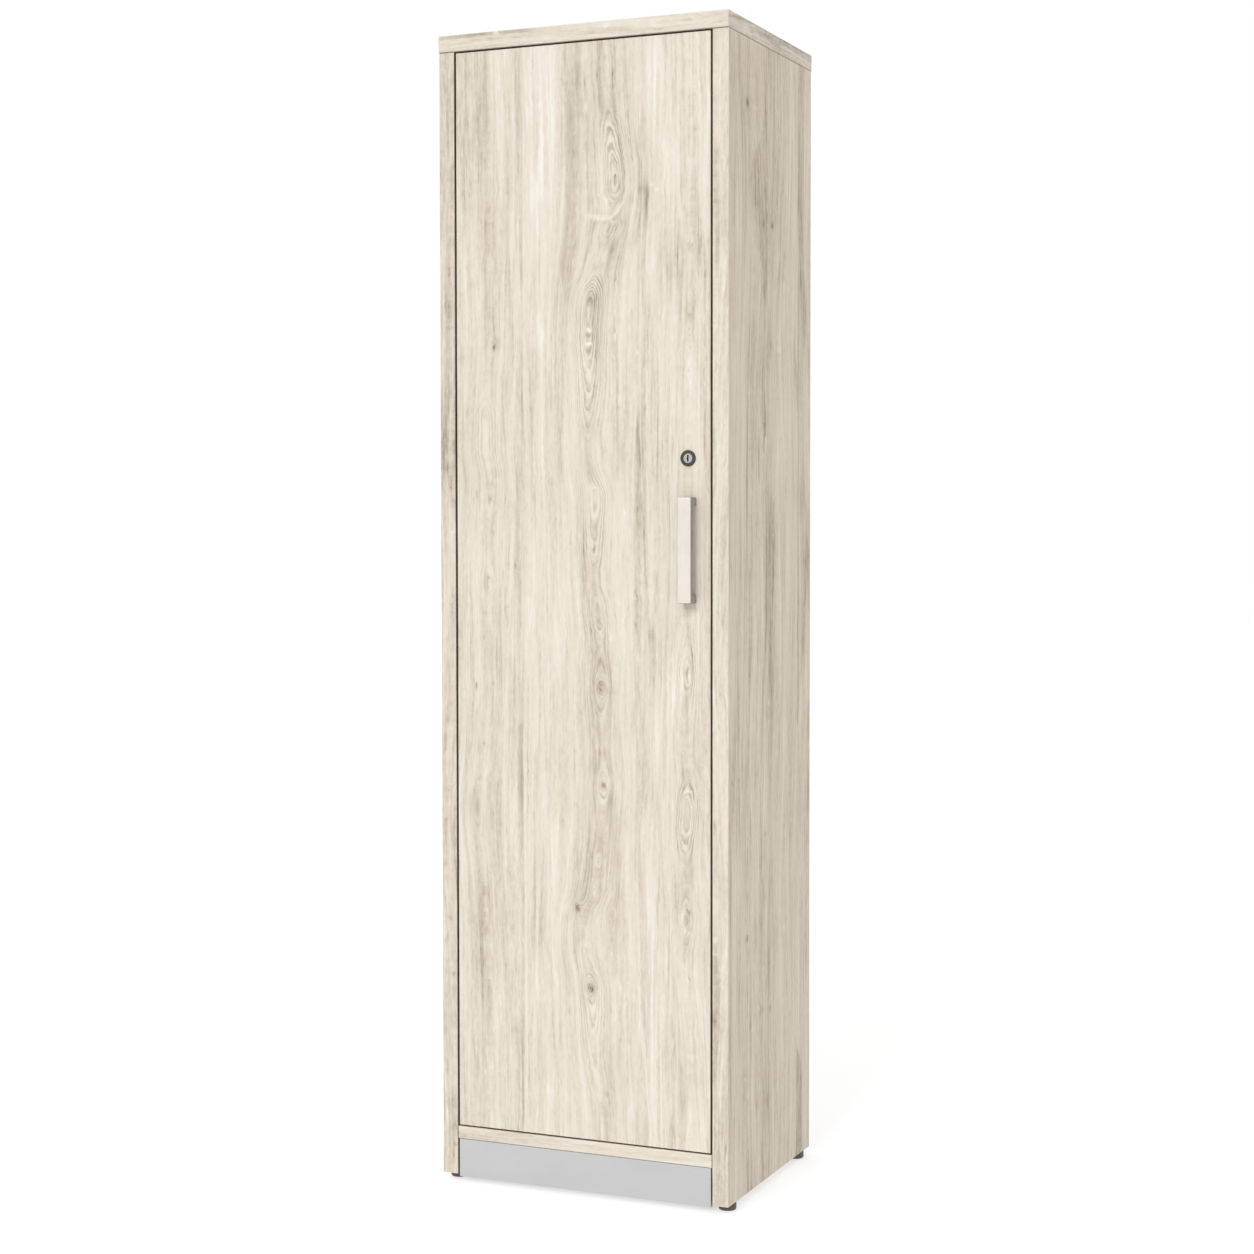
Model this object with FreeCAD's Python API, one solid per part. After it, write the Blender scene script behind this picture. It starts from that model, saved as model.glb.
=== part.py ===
import FreeCAD, Part
import math
import os

V = FreeCAD.Vector
os.makedirs("parts", exist_ok=True)

# ---------------------------------------------------------------- dimensions
# All in millimetres. X to the right seen from the front, Y to the back, Z up.
# The origin is on the floor, at the middle of the whole cupboard's plan.

WIDTH = 500.0            # over the two side panels
HEIGHT = 1860.0          # floor to top surface
DEPTH = 384.0            # side panel, front edge to rear edge
T_HEAVY = 26.6           # top and side boards
T_LIGHT = 20.6           # door, bottom board and shelf
T_BACK = 8.0             # back panel
BAND = 2.0               # edge band thickness
R_BAND = 1.1             # rounding of the edge bands
TOP_OVER_F = 2.0         # top board past the sides, front
TOP_OVER_R = 2.0         # top board past the sides, rear
TOP_OVER_S = 0.3         # top board past the sides, left and right
SIDE_Z0 = 12.0           # side panels stand this high on the glides

HANDLE_OUT = 25.0        # handle's projection from the door

YF = HANDLE_OUT - (HANDLE_OUT + DEPTH + TOP_OVER_R) / 2.0   # front plane
YB = YF + DEPTH                                             # rear plane of the sides
XO = WIDTH / 2.0                                            # outer face of a side
XI = XO - T_HEAVY                                           # inner face of a side
ZT = HEIGHT - T_HEAVY                                       # underside of the top

# door, inset and flush, hung on the left
DOOR_X0, DOOR_X1 = -XI + 3.6, XI - 3.3
DOOR_Z0, DOOR_Z1 = 93.7, ZT - 2.7
DOOR_YR = YF + T_LIGHT

# bottom board and plinth
BOT_Z0 = 70.6
BOT_Z1 = BOT_Z0 + T_LIGHT
BOT_RECESS = 0.7
BOT_BAND_END = 0.5       # the rail's band stops this far short of each side
PLINTH_RECESS = 1.0
PLINTH_T = 16.0
PLINTH_Z0, PLINTH_Z1 = 8.2, 70.1
PLINTH_END_GAP = 2.9

# back panel sits in a rebate of the sides
REBATE = 10.0

# shelf
SHELF_Z0 = 1480.0
SHELF_Z1 = SHELF_Z0 + T_LIGHT
SHELF_Y0 = YF + 40.0
SHELF_END_GAP = 0.8

# hinges: four single-pivot cup hinges on one vertical axis
HINGE_Z = (200.0, 710.0, 1215.0, 1724.0)
PIN_X = DOOR_X0 + 22.5
PIN_Y = YF + 11.2
PIN_R = 1.25
EYE_BORE_R = 1.30
EYE_R = 2.2
ARM_T = 2.2
ARM_HALF = 8.0
CUP_R = 17.5
CUP_WALL = 1.2

# lock
LOCK_X, LOCK_Z = 183.3, 1176.4
BEZEL_R = 12.6
BARREL_R = 9.5
PLUG_R = 7.5
PLUG_BORE_R = 7.55
CAM_REACH = 32.0

# handle
HAND_X0, HAND_X1 = 175.3, 196.8
HAND_Z0, HAND_Z1 = 952.0, 1116.2
HAND_LEG = 12.2
HAND_BAR = 6.6
HAND_R_IN = 6.0

# glides
GLIDE_X = XO - T_HEAVY / 2.0
GLIDE_IN = 32.0          # from the front and rear edges of the sides
GLIDE_R = 14.0
GLIDE_H = 11.8
STUD_R = 4.0
STUD_BORE_R = 4.06
INSERT_R = 6.5


# ---------------------------------------------------------------- helpers

def box(x0, x1, y0, y1, z0, z1):
    return Part.makeBox(x1 - x0, y1 - y0, z1 - z0, V(x0, y0, z0))


def cyl(r, p, d, length):
    return Part.makeCylinder(r, length, V(*p), V(*d))


def join(first, *others):
    return first.fuse(list(others)).removeSplitter()


def less(shape, tools):
    return shape.cut(list(tools))


def edges_where(shape, test):
    return [e for e in shape.Edges if test(e)]


def at(value, target, tol=1e-4):
    return abs(value - target) < tol


def along(edge, axis):
    p, q = edge.Vertexes[0].Point, edge.Vertexes[-1].Point
    d = q.sub(p)
    comps = (abs(d.x), abs(d.y), abs(d.z))
    return edge.Curve.TypeId == "Part::GeomLine" and comps[axis] > 1e-6 \
        and sum(comps) - comps[axis] < 1e-6


def mid(edge):
    return edge.Vertexes[0].Point.add(edge.Vertexes[-1].Point).multiply(0.5)


def save(name, shapes):
    if not isinstance(shapes, (list, tuple)):
        shapes = [shapes]
    solids = []
    for s in shapes:
        solids += s.Solids
    for s in solids:
        if not s.isValid() or s.Volume <= 0:
            raise RuntimeError(name + ": a solid is not valid")
    whole = solids[0] if len(solids) == 1 else Part.makeCompound(solids)
    whole.exportStep("parts/" + name + ".step")
    b = whole.BoundBox
    print("%-24s solids %2d  x %8.2f %8.2f  y %8.2f %8.2f  z %8.2f %8.2f" % (
        name, len(solids), b.XMin, b.XMax, b.YMin, b.YMax, b.ZMin, b.ZMax))


def screw(p, d, r, length, head_r, head_h):
    """Screw at p, where p is the plane under the head and d points from the
    head to the tip. The head has a cross recess."""
    dv = V(*d)
    shank = Part.makeCylinder(r, length - r, V(*p), dv)
    tip_base = V(*p).add(V(dv.x, dv.y, dv.z).multiply(length - r))
    tip = Part.makeCone(r, r * 0.35, r, tip_base, dv)
    back = V(-dv.x, -dv.y, -dv.z)
    head = Part.makeCylinder(head_r, head_h, V(*p), back)
    rim = [e for e in head.Edges if e.Curve.TypeId == "Part::GeomCircle"
           and e.Curve.Center.sub(V(*p)).Length > head_h * 0.5]
    head = head.makeFillet(min(head_h * 0.55, head_r * 0.4), rim)
    s = join(shank, tip, head)
    top = V(*p).add(V(back.x, back.y, back.z).multiply(head_h))
    w, arm, deep = head_r * 0.24, head_r * 0.62, head_h * 0.6
    a = Part.makeBox(2 * arm, w, deep, V(-arm, -w / 2.0, -deep))
    b = Part.makeBox(w, 2 * arm, deep, V(-w / 2.0, -arm, -deep))
    rot = FreeCAD.Rotation(V(0, 0, 1), back)
    cuts = []
    for c in (a, b):
        c.Placement = FreeCAD.Placement(top, rot).multiply(c.Placement)
        cuts.append(c)
    return s.cut(cuts)


def screw_hole(p, d, r, length):
    """The room that a screw's shank takes in a board."""
    return Part.makeCylinder(r, length, V(*p), V(*d))


def bent_strip(points, radius, thick, z0, z1):
    """A flat strip bent along points in plan, with one inside radius at all
    bends, standing from z0 to z1."""
    pts = [V(x, y, 0) for x, y in points]
    n = len(pts)
    dirs = [pts[i + 1].sub(pts[i]).normalize() for i in range(n - 1)]
    corners = []
    for i in range(1, n - 1):
        a, b = dirs[i - 1], dirs[i]
        turn = math.atan2(a.x * b.y - a.y * b.x, a.x * b.x + a.y * b.y)
        sign = 1.0 if turn > 0 else -1.0
        reach = radius * math.tan(abs(turn) / 2.0)
        p0 = pts[i].sub(V(a.x, a.y, 0).multiply(reach))
        p1 = pts[i].add(V(b.x, b.y, 0).multiply(reach))
        centre = p0.add(V(-a.y * sign, a.x * sign, 0).multiply(radius))
        corners.append((p0, p1, centre, sign, pts[i]))

    def side(s):
        """Edges of one long side, s to the left of the strip's run."""
        out = []
        left0 = V(-dirs[0].y, dirs[0].x, 0).multiply(s)
        here = pts[0].add(left0)
        for p0, p1, c, sign, corner in corners:
            r = radius - sign * s
            q0 = c.add(p0.sub(c).normalize().multiply(r))
            q1 = c.add(p1.sub(c).normalize().multiply(r))
            qm = c.add(corner.sub(c).normalize().multiply(r))
            out.append(Part.LineSegment(here, q0).toShape())
            out.append(Part.Arc(q0, qm, q1).toShape())
            here = q1
        left1 = V(-dirs[-1].y, dirs[-1].x, 0).multiply(s)
        end = pts[-1].add(left1)
        out.append(Part.LineSegment(here, end).toShape())
        return out, pts[0].add(left0), end

    left, l0, l1 = side(thick / 2.0)
    right, r0, r1 = side(-thick / 2.0)
    edges = left + [Part.LineSegment(l1, r1).toShape()] + list(reversed(right)) \
        + [Part.LineSegment(r0, l0).toShape()]
    wire = Part.Wire(Part.__sortEdges__(edges))
    face = Part.Face(wire)
    face.translate(V(0, 0, z0))
    return face.extrude(V(0, 0, z1 - z0))


# ---------------------------------------------------------------- fasteners in the carcass
# Cam fittings: four hold the top to the sides, four hold the bottom board.

cams, cam_bolts, dowels = [], [], []
cut_top, cut_left, cut_right, cut_bottom = [], [], [], []

CAM_R, CAM_DEEP, BOLT_R = 7.5, 14.5, 3.0
for sx, cuts in ((-1, cut_left), (1, cut_right)):
    for y in (YF + 60.0, YF + 324.0):
        zc = ZT - 34.0
        bx = sx * (XI + 8.0)
        body = cyl(CAM_R, (sx * XI, y, zc), (sx, 0, 0), CAM_DEEP)
        cuts.append(body)
        bolt = cyl(BOLT_R, (bx, y, zc), (0, 0, 1), 34.0 + 11.0)
        cuts.append(cyl(BOLT_R, (bx, y, zc), (0, 0, 1), 40.0))
        cut_top.append(cyl(BOLT_R, (bx, y, ZT), (0, 0, 1), 11.0))
        slot = box(sx * XI - 2.0, sx * XI + 2.0, y - 4.0, y + 4.0, zc - 0.8, zc + 0.8)
        cams.append(less(body, [bolt, slot]))
        cam_bolts.append(bolt)
    for y in (YF + 92.0, YF + 292.0):
        d = cyl(4.0, (sx * GLIDE_X, y, ZT - 20.0), (0, 0, 1), 31.0)
        dowels.append(d)
        cuts.append(d)
        cut_top.append(d)
    for y in (YF + 70.0, YF + 318.0):
        xc = sx * (XI - 34.0)
        body = cyl(CAM_R, (xc, y, BOT_Z0), (0, 0, 1), CAM_DEEP)
        bolt = cyl(BOLT_R, (xc, y, BOT_Z0 + 9.0), (sx, 0, 0), 34.0 + 11.0)
        cut_bottom += [body, bolt]
        cuts.append(bolt)
        slot = box(xc - 4.0, xc + 4.0, y - 0.8, y + 0.8, BOT_Z0 - 2.0, BOT_Z0 + 2.0)
        cams.append(less(body, [bolt, slot]))
        cam_bolts.append(bolt)
    for y in (YF + 104.0, YF + 284.0):
        d = cyl(4.0, (sx * (XI - 20.0), y, BOT_Z0 + T_LIGHT / 2.0), (sx, 0, 0), 31.0)
        dowels.append(d)
        cuts.append(d)
        cut_bottom.append(d)
dowels = [d.makeChamfer(0.8, [e for e in d.Edges if e.Curve.TypeId == "Part::GeomCircle"])
          for d in dowels]

# back panel screws: six into each side, three into the bottom board
back_screws, cut_back, cut_hook_rail = [], [], []
BACK_SCREW = dict(r=1.6, length=24.0, head_r=3.2, head_h=1.8)
for x, z, cuts in [(sx * (XI + 5.0), z, c) for sx, c in ((-1, cut_left), (1, cut_right))
                   for z in (140.0, 460.0, 780.0, 1100.0, 1400.0, 1740.0)] \
        + [(x, BOT_Z0 + T_LIGHT / 2.0, cut_bottom) for x in (-140.0, 0.0, 140.0)]:
    p = (x, YB - BACK_SCREW["head_h"], z)
    s = screw(p, (0, -1, 0), **BACK_SCREW)
    back_screws.append(s)
    hole = screw_hole(p, (0, -1, 0), BACK_SCREW["r"], BACK_SCREW["length"])
    cuts.append(hole)
    cut_back.append(hole)
    cut_back.append(cyl(BACK_SCREW["head_r"], (x, YB, z), (0, -1, 0), BACK_SCREW["head_h"]))

# ---------------------------------------------------------------- glides

glide_inserts = []
GLIDES = {
    "front_left": (-GLIDE_X, YF + GLIDE_IN), "front_right": (GLIDE_X, YF + GLIDE_IN),
    "rear_left": (-GLIDE_X, YB - GLIDE_IN), "rear_right": (GLIDE_X, YB - GLIDE_IN),
}
for name, (x, y) in GLIDES.items():
    base = cyl(GLIDE_R, (x, y, 0), (0, 0, 1), GLIDE_H)
    low = [e for e in base.Edges if e.Curve.TypeId == "Part::GeomCircle" and at(e.Curve.Center.z, 0)]
    base = base.makeFillet(2.6, low)
    high = [e for e in base.Edges if e.Curve.TypeId == "Part::GeomCircle"
            and at(e.Curve.Center.z, GLIDE_H)]
    base = base.makeFillet(0.8, high)
    stud = cyl(STUD_R, (x, y, 4.0), (0, 0, 1), 40.0)
    tip = [e for e in stud.Edges if e.Curve.TypeId == "Part::GeomCircle"
           and at(e.Curve.Center.z, 44.0)]
    stud = stud.makeChamfer(1.0, tip)
    base = base.cut(cyl(STUD_R, (x, y, 4.0), (0, 0, 1), 20.0))
    save("glide_base_" + name, base)
    save("glide_stud_" + name, stud)
    sleeve = cyl(INSERT_R, (x, y, SIDE_Z0), (0, 0, 1), 30.0)
    sleeve = sleeve.cut(cyl(STUD_BORE_R, (x, y, SIDE_Z0), (0, 0, 1), 30.0))
    glide_inserts.append(sleeve)
    cuts = cut_left if x < 0 else cut_right
    cuts.append(cyl(INSERT_R, (x, y, SIDE_Z0), (0, 0, 1), 36.0))
save("glide_inserts", glide_inserts)

# ---------------------------------------------------------------- hinges
# Each hinge: a cup let into the door, a pin across the cup, a bent arm whose
# eye turns on the pin, and a mounting plate on the left side panel.

cups, pins, cup_screws = [], [], []
arms, plates, plate_screws, arm_screws = [], [], [], []
cut_door = []
PLATE_T = 4.0
PLATE_X0, PLATE_X1 = -XI, -XI + PLATE_T
PLATE_Y0, PLATE_Y1 = YF + 41.0, YF + 95.0
ARM_X = PLATE_X1 + ARM_T / 2.0
CUP_Y0 = YF + 8.0
FLANGE_T = 1.2

for z in HINGE_Z:
    # cup with wing flange
    cup = cyl(CUP_R, (PIN_X, CUP_Y0, z), (0, 1, 0), DOOR_YR - CUP_Y0)
    cut_door.append(cyl(CUP_R, (PIN_X, CUP_Y0, z), (0, 1, 0), DOOR_YR - CUP_Y0))
    ring = cyl(CUP_R + 2.2, (PIN_X, DOOR_YR, z), (0, 1, 0), FLANGE_T)
    wing = box(PIN_X + 1.0, PIN_X + 17.5, DOOR_YR, DOOR_YR + FLANGE_T, z - 31.0, z + 31.0)
    wing = wing.makeFillet(5.0, edges_where(wing, lambda e: along(e, 1)))
    cup = join(cup, ring, wing)
    well = cyl(CUP_R - CUP_WALL, (PIN_X, CUP_Y0 + 0.7, z), (0, 1, 0), 40.0)
    notch = box(PIN_X - 30.0, PIN_X - 8.0, DOOR_YR, DOOR_YR + 5.0, z - 10.0, z + 10.0)
    cup = less(cup, [well, notch])
    ears = [box(PIN_X - 3.0, PIN_X + 3.0, CUP_Y0 + 0.3, PIN_Y + 3.0, z + s * 9.7 - 1.3, z + s * 9.7 + 1.3)
            for s in (-1, 1)]
    cup = join(cup, *ears)
    pin = cyl(PIN_R, (PIN_X, PIN_Y, z - 11.0), (0, 0, 1), 22.0)
    cup = cup.cut(pin)
    holes = []
    for s in (-1, 1):
        p = (PIN_X + 9.5, DOOR_YR + FLANGE_T, z + s * 24.0)
        cup_screws.append(screw(p, (0, -1, 0), 1.75, 13.5, 3.4, 1.7))
        hole = screw_hole(p, (0, -1, 0), 1.75, 13.5)
        holes.append(hole)
        cut_door.append(hole)
    cups.append(less(cup, holes))
    pins.append(pin)

    # arm
    path = [(PIN_X, PIN_Y), (PIN_X + 13.6, PIN_Y + 11.5), (PIN_X + 13.6, PIN_Y + 26.9),
            (ARM_X, PIN_Y + 26.9), (ARM_X, PLATE_Y1 - 4.0)]
    arm = bent_strip(path, 3.6, ARM_T, z - ARM_HALF, z + ARM_HALF)
    eye = cyl(EYE_R, (PIN_X, PIN_Y, z - ARM_HALF), (0, 0, 1), 2 * ARM_HALF)
    arm = join(arm, eye)
    arm = arm.cut(cyl(EYE_BORE_R, (PIN_X, PIN_Y, z - 20.0), (0, 0, 1), 40.0))

    # mounting plate, a cross in outline
    bar = box(PLATE_X0, PLATE_X1, PLATE_Y0, PLATE_Y1, z - 9.0, z + 9.0)
    bar = bar.makeFillet(2.5, edges_where(bar, lambda e: along(e, 0)))
    wings = box(PLATE_X0, PLATE_X1, PLATE_Y0 + 19.0, PLATE_Y0 + 35.0, z - 25.0, z + 25.0)
    wings = wings.makeFillet(4.0, edges_where(wings, lambda e: along(e, 0)))
    plate = join(bar, wings)
    rim = [e for e in plate.Edges if all(at(v.Point.x, PLATE_X1) for v in e.Vertexes)]
    plate = plate.makeChamfer(0.6, rim)
    holes = []
    for s in (-1, 1):
        p = (PLATE_X1, PLATE_Y0 + 27.0, z + s * 17.0)
        plate_screws.append(screw(p, (-1, 0, 0), 2.4, 15.0, 4.1, 2.0))
        hole = screw_hole(p, (-1, 0, 0), 2.4, 15.0)
        holes.append(hole)
        cut_left.append(hole)
    p = (PLATE_X1 + ARM_T, PLATE_Y0 + 40.0, z)
    fix = screw(p, (-1, 0, 0), 2.5, ARM_T + PLATE_T - 0.4, 4.4, 2.4)
    fix_hole = screw_hole(p, (-1, 0, 0), 2.5, ARM_T + PLATE_T - 0.4)
    arm_screws.append(fix)
    # the adjusting screw at the front end of the arm's foot
    p2 = (PLATE_X1 + ARM_T, PLATE_Y0 + 14.0, z)
    fix2 = screw(p2, (-1, 0, 0), 2.0, ARM_T + PLATE_T - 0.4, 3.2, 1.4)
    fix2_hole = screw_hole(p2, (-1, 0, 0), 2.0, ARM_T + PLATE_T - 0.4)
    arm_screws.append(fix2)
    plates.append(less(plate, holes + [fix_hole, fix2_hole]))
    arms.append(less(arm, [fix_hole, fix2_hole]))

save("hinge_cups", cups)
save("hinge_pins", pins)
save("hinge_cup_screws", cup_screws)
save("hinge_arms", arms)
save("hinge_mounting_plates", plates)
save("hinge_plate_screws", plate_screws)
save("hinge_arm_screws", arm_screws)

# ---------------------------------------------------------------- lock
# At rest the lock is open: the cam points straight up.

bezel = cyl(BEZEL_R, (LOCK_X, YF - 2.4, LOCK_Z), (0, 1, 0), 2.4)
front_rim = [e for e in bezel.Edges if e.Curve.TypeId == "Part::GeomCircle"
             and at(e.Curve.Center.y, YF - 2.4)]
bezel = bezel.makeFillet(1.2, front_rim)
barrel = cyl(BARREL_R, (LOCK_X, YF, LOCK_Z), (0, 1, 0), 23.8)
housing = join(bezel, barrel)
housing = housing.cut(cyl(PLUG_BORE_R, (LOCK_X, YF - 5.0, LOCK_Z), (0, 1, 0), 40.0))
inner = [e for e in housing.Edges if e.Curve.TypeId == "Part::GeomCircle"
         and at(e.Curve.Radius, PLUG_BORE_R) and at(e.Curve.Center.y, YF - 2.4)]
housing = housing.makeChamfer(0.5, inner)
save("lock_housing", housing)
cut_door.append(cyl(BARREL_R, (LOCK_X, YF - 1.0, LOCK_Z), (0, 1, 0), 40.0))

hexagon = Part.makePolygon([V(LOCK_X + 13.6 * math.cos(math.radians(60 * i + 30)), DOOR_YR,
                              LOCK_Z + 13.6 * math.sin(math.radians(60 * i + 30))) for i in range(7)])
nut = Part.Face(hexagon).extrude(V(0, 2.8, 0))
nut = nut.cut(cyl(BARREL_R, (LOCK_X, DOOR_YR - 1.0, LOCK_Z), (0, 1, 0), 10.0))
save("lock_nut", nut)

CAM_Y0, CAM_Y1 = YF + 24.4, YF + 26.4
plug = cyl(PLUG_R, (LOCK_X, YF - 2.0, LOCK_Z), (0, 1, 0), 26.1)
face_rim = [e for e in plug.Edges if e.Curve.TypeId == "Part::GeomCircle"
            and at(e.Curve.Center.y, YF - 2.0)]
plug = plug.makeFillet(0.5, face_rim)
tang = box(LOCK_X - 3.5, LOCK_X + 3.5, YF + 24.0, CAM_Y1, LOCK_Z - 3.5, LOCK_Z + 3.5)
plug = join(plug, tang)
keyway = box(LOCK_X - 1.2, LOCK_X + 1.2, YF - 3.0, YF + 9.5, LOCK_Z - 5.2, LOCK_Z + 5.2)
ward = box(LOCK_X - 2.0, LOCK_X + 1.2, YF - 3.0, YF + 9.5, LOCK_Z - 1.2, LOCK_Z + 0.8)
cam_screw_p = (LOCK_X, CAM_Y1, LOCK_Z)
cam_screw = screw(cam_screw_p, (0, -1, 0), 2.0, 13.0, 5.4, 2.4)
plug = less(plug, [keyway, ward, screw_hole(cam_screw_p, (0, -1, 0), 2.0, 13.0)])
save("lock_plug", plug)
save("lock_cam_screw", cam_screw)

cam = box(LOCK_X - 7.5, LOCK_X + 7.5, CAM_Y0, CAM_Y1, LOCK_Z, LOCK_Z + CAM_REACH)
cam = cam.makeFillet(5.0, edges_where(cam, lambda e: along(e, 1) and mid(e).z > LOCK_Z + 1.0))
cam = join(cam, cyl(7.5, (LOCK_X, CAM_Y0, LOCK_Z), (0, 1, 0), CAM_Y1 - CAM_Y0))
cam = cam.cut(box(LOCK_X - 3.5, LOCK_X + 3.5, CAM_Y0 - 1.0, CAM_Y1 + 1.0, LOCK_Z - 3.5, LOCK_Z + 3.5))
save("lock_cam", cam)

# strike bracket on the right side panel: the cam turns in behind its front leg
strike = join(box(XI - 2.0, XI, YF + 21.5, YF + 50.0, LOCK_Z - 15.0, LOCK_Z + 15.0),
              box(XI - 18.4, XI, YF + 21.5, YF + 23.4, LOCK_Z - 15.0, LOCK_Z + 15.0))
strike = strike.makeFillet(2.5, edges_where(
    strike, lambda e: along(e, 1) and at(mid(e).x, XI - 18.4) or along(e, 0) and at(mid(e).y, YF + 50.0)))
strike_screws, holes = [], []
for s in (-1, 1):
    p = (XI - 2.0, YF + 38.0, LOCK_Z + s * 8.0)
    strike_screws.append(screw(p, (1, 0, 0), 1.75, 14.0, 3.4, 1.7))
    hole = screw_hole(p, (1, 0, 0), 1.75, 14.0)
    holes.append(hole)
    cut_right.append(hole)
save("lock_strike", less(strike, holes))
save("lock_strike_screws", strike_screws)

# door stops on the right side panel, close behind the shut door
stops, stop_screws = [], []
for z in (150.0, 1765.0):
    s = box(XI - 15.0, XI, YF + 21.0, YF + 35.0, z - 12.0, z + 12.0)
    s = s.makeFillet(3.0, edges_where(s, lambda e: at(mid(e).x, XI - 15.0)))
    p = (XI - 6.0, YF + 28.0, z)
    well = cyl(3.8, (XI - 15.5, YF + 28.0, z), (1, 0, 0), 9.5)
    hole = screw_hole(p, (1, 0, 0), 1.75, 20.0)
    stops.append(less(s, [well, hole]))
    stop_screws.append(screw(p, (1, 0, 0), 1.75, 20.0, 3.4, 1.7))
    cut_right.append(hole)
save("door_stops", stops)
save("door_stop_screws", stop_screws)

# ---------------------------------------------------------------- handle
# A bow pull: a flat bar on two legs, rounded inside where bar meets leg.

hx0, hx1 = HAND_X0, HAND_X1
hy0 = YF - HANDLE_OUT
solid = box(hx0, hx1, hy0, YF, HAND_Z0, HAND_Z1)
gap = box(hx0 - 1.0, hx1 + 1.0, hy0 + HAND_BAR, YF + 1.0, HAND_Z0 + HAND_LEG, HAND_Z1 - HAND_LEG)
gap = gap.makeFillet(HAND_R_IN, edges_where(gap, lambda e: along(e, 0) and at(mid(e).y, hy0 + HAND_BAR)))
handle = solid.cut(gap)
handle = handle.makeFillet(2.2, edges_where(
    handle, lambda e: along(e, 0) and at(mid(e).y, hy0)))
rim = [e for e in handle.Edges
       if (all(at(v.Point.x, hx0) for v in e.Vertexes) or all(at(v.Point.x, hx1) for v in e.Vertexes))
       and not all(at(v.Point.y, YF) for v in e.Vertexes)]
handle = handle.makeFillet(0.9, rim)
handle_screws, holes = [], []
HX = (hx0 + hx1) / 2.0
for z in (HAND_Z0 + HAND_LEG / 2.0, HAND_Z1 - HAND_LEG / 2.0):
    p = (HX, DOOR_YR, z)
    handle_screws.append(screw(p, (0, -1, 0), 2.0, 32.0, 4.2, 2.2))
    hole = screw_hole(p, (0, -1, 0), 2.0, 32.0)
    holes.append(hole)
    cut_door.append(hole)
save("pull_handle", less(handle, holes))
save("handle_screws", handle_screws)

# ---------------------------------------------------------------- door board and bands

door = box(DOOR_X0, DOOR_X1, YF, DOOR_YR, DOOR_Z0, DOOR_Z1)
door = door.makeFillet(R_BAND, door.Edges)
door_core = box(DOOR_X0 + BAND, DOOR_X1 - BAND, YF, DOOR_YR, DOOR_Z0 + BAND, DOOR_Z1 - BAND)
save("door_panel", less(door_core, cut_door))
big = 5000.0
door_bands_upright = [
    door.common(box(-big, DOOR_X0 + BAND, -big, big, -big, big)),
    door.common(box(DOOR_X1 - BAND, big, -big, big, -big, big))]
door_bands_level = [
    door.common(box(DOOR_X0 + BAND, DOOR_X1 - BAND, -big, big, -big, DOOR_Z0 + BAND)),
    door.common(box(DOOR_X0 + BAND, DOOR_X1 - BAND, -big, big, DOOR_Z1 - BAND, big))]
save("door_bands_upright", door_bands_upright)
save("door_bands_level", door_bands_level)

# ---------------------------------------------------------------- plinth
# A silver-grey board, set back, held by an angle bracket at each end.

px1 = XI - PLINTH_END_GAP
py0 = YF + PLINTH_RECESS
py1 = py0 + PLINTH_T
plinth = box(-px1, px1, py0, py1, PLINTH_Z0, PLINTH_Z1)
plinth = plinth.makeFillet(0.6, edges_where(plinth, lambda e: at(mid(e).y, py0)))
brackets, plinth_screws, cut_plinth = [], [], []
for sx, cuts in ((-1, cut_left), (1, cut_right)):
    xa, xb = sorted((sx * XI, sx * (XI - 30.0)))
    xc, xd = sorted((sx * XI, sx * (XI - 3.0)))
    ang = join(box(xa, xb, py1, py1 + 3.0, 22.0, 56.0), box(xc, xd, py1, py1 + 32.0, 22.0, 56.0))
    p = (sx * (XI - 3.0), py1 + 25.0, 39.0)
    q = (sx * (XI - 18.0), py1 + 3.0, 39.0)
    plinth_screws.append(screw(p, (sx, 0, 0), 1.75, 15.0, 3.4, 1.7))
    plinth_screws.append(screw(q, (0, -1, 0), 1.75, 14.0, 3.4, 1.7))
    hp = screw_hole(p, (sx, 0, 0), 1.75, 15.0)
    hq = screw_hole(q, (0, -1, 0), 1.75, 14.0)
    brackets.append(less(ang, [hp, hq]))
    cuts.append(hp)
    cut_plinth.append(hq)
save("plinth_board", less(plinth, cut_plinth))
save("plinth_brackets", brackets)
save("plinth_screws", plinth_screws)

# ---------------------------------------------------------------- shelf and its pins

sx1 = XI - SHELF_END_GAP
shelf_y1 = YB - T_BACK - 1.0
shelf = box(-sx1, sx1, SHELF_Y0 + BAND, shelf_y1, SHELF_Z0, SHELF_Z1)
save("shelf", shelf)
sband = box(-sx1, sx1, SHELF_Y0, SHELF_Y0 + BAND, SHELF_Z0, SHELF_Z1)
sband = sband.makeFillet(R_BAND, edges_where(sband, lambda e: along(e, 0) and at(mid(e).y, SHELF_Y0)))
save("shelf_band", sband)
shelf_pins = []
for sx, cuts in ((-1, cut_left), (1, cut_right)):
    for y in (SHELF_Y0 + 38.0, shelf_y1 - 38.0):
        peg = cyl(2.5, (sx * (XI + 9.0), y, SHELF_Z0 - 5.0), (-sx, 0, 0), 10.0)
        xa, xb = sorted((sx * XI, sx * (XI - 9.0)))
        xc, xd = sorted((sx * XI, sx * (XI - 2.0)))
        lip = box(xa, xb, y - 6.0, y + 6.0, SHELF_Z0 - 2.0, SHELF_Z0)
        web = box(xc, xd, y - 6.0, y + 6.0, SHELF_Z0 - 12.0, SHELF_Z0)
        shelf_pins.append(join(web, lip, peg))
        cuts.append(cyl(2.5, (sx * XI, y, SHELF_Z0 - 5.0), (sx, 0, 0), 9.0))
save("shelf_pins", shelf_pins)

# ---------------------------------------------------------------- hook rail

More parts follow.
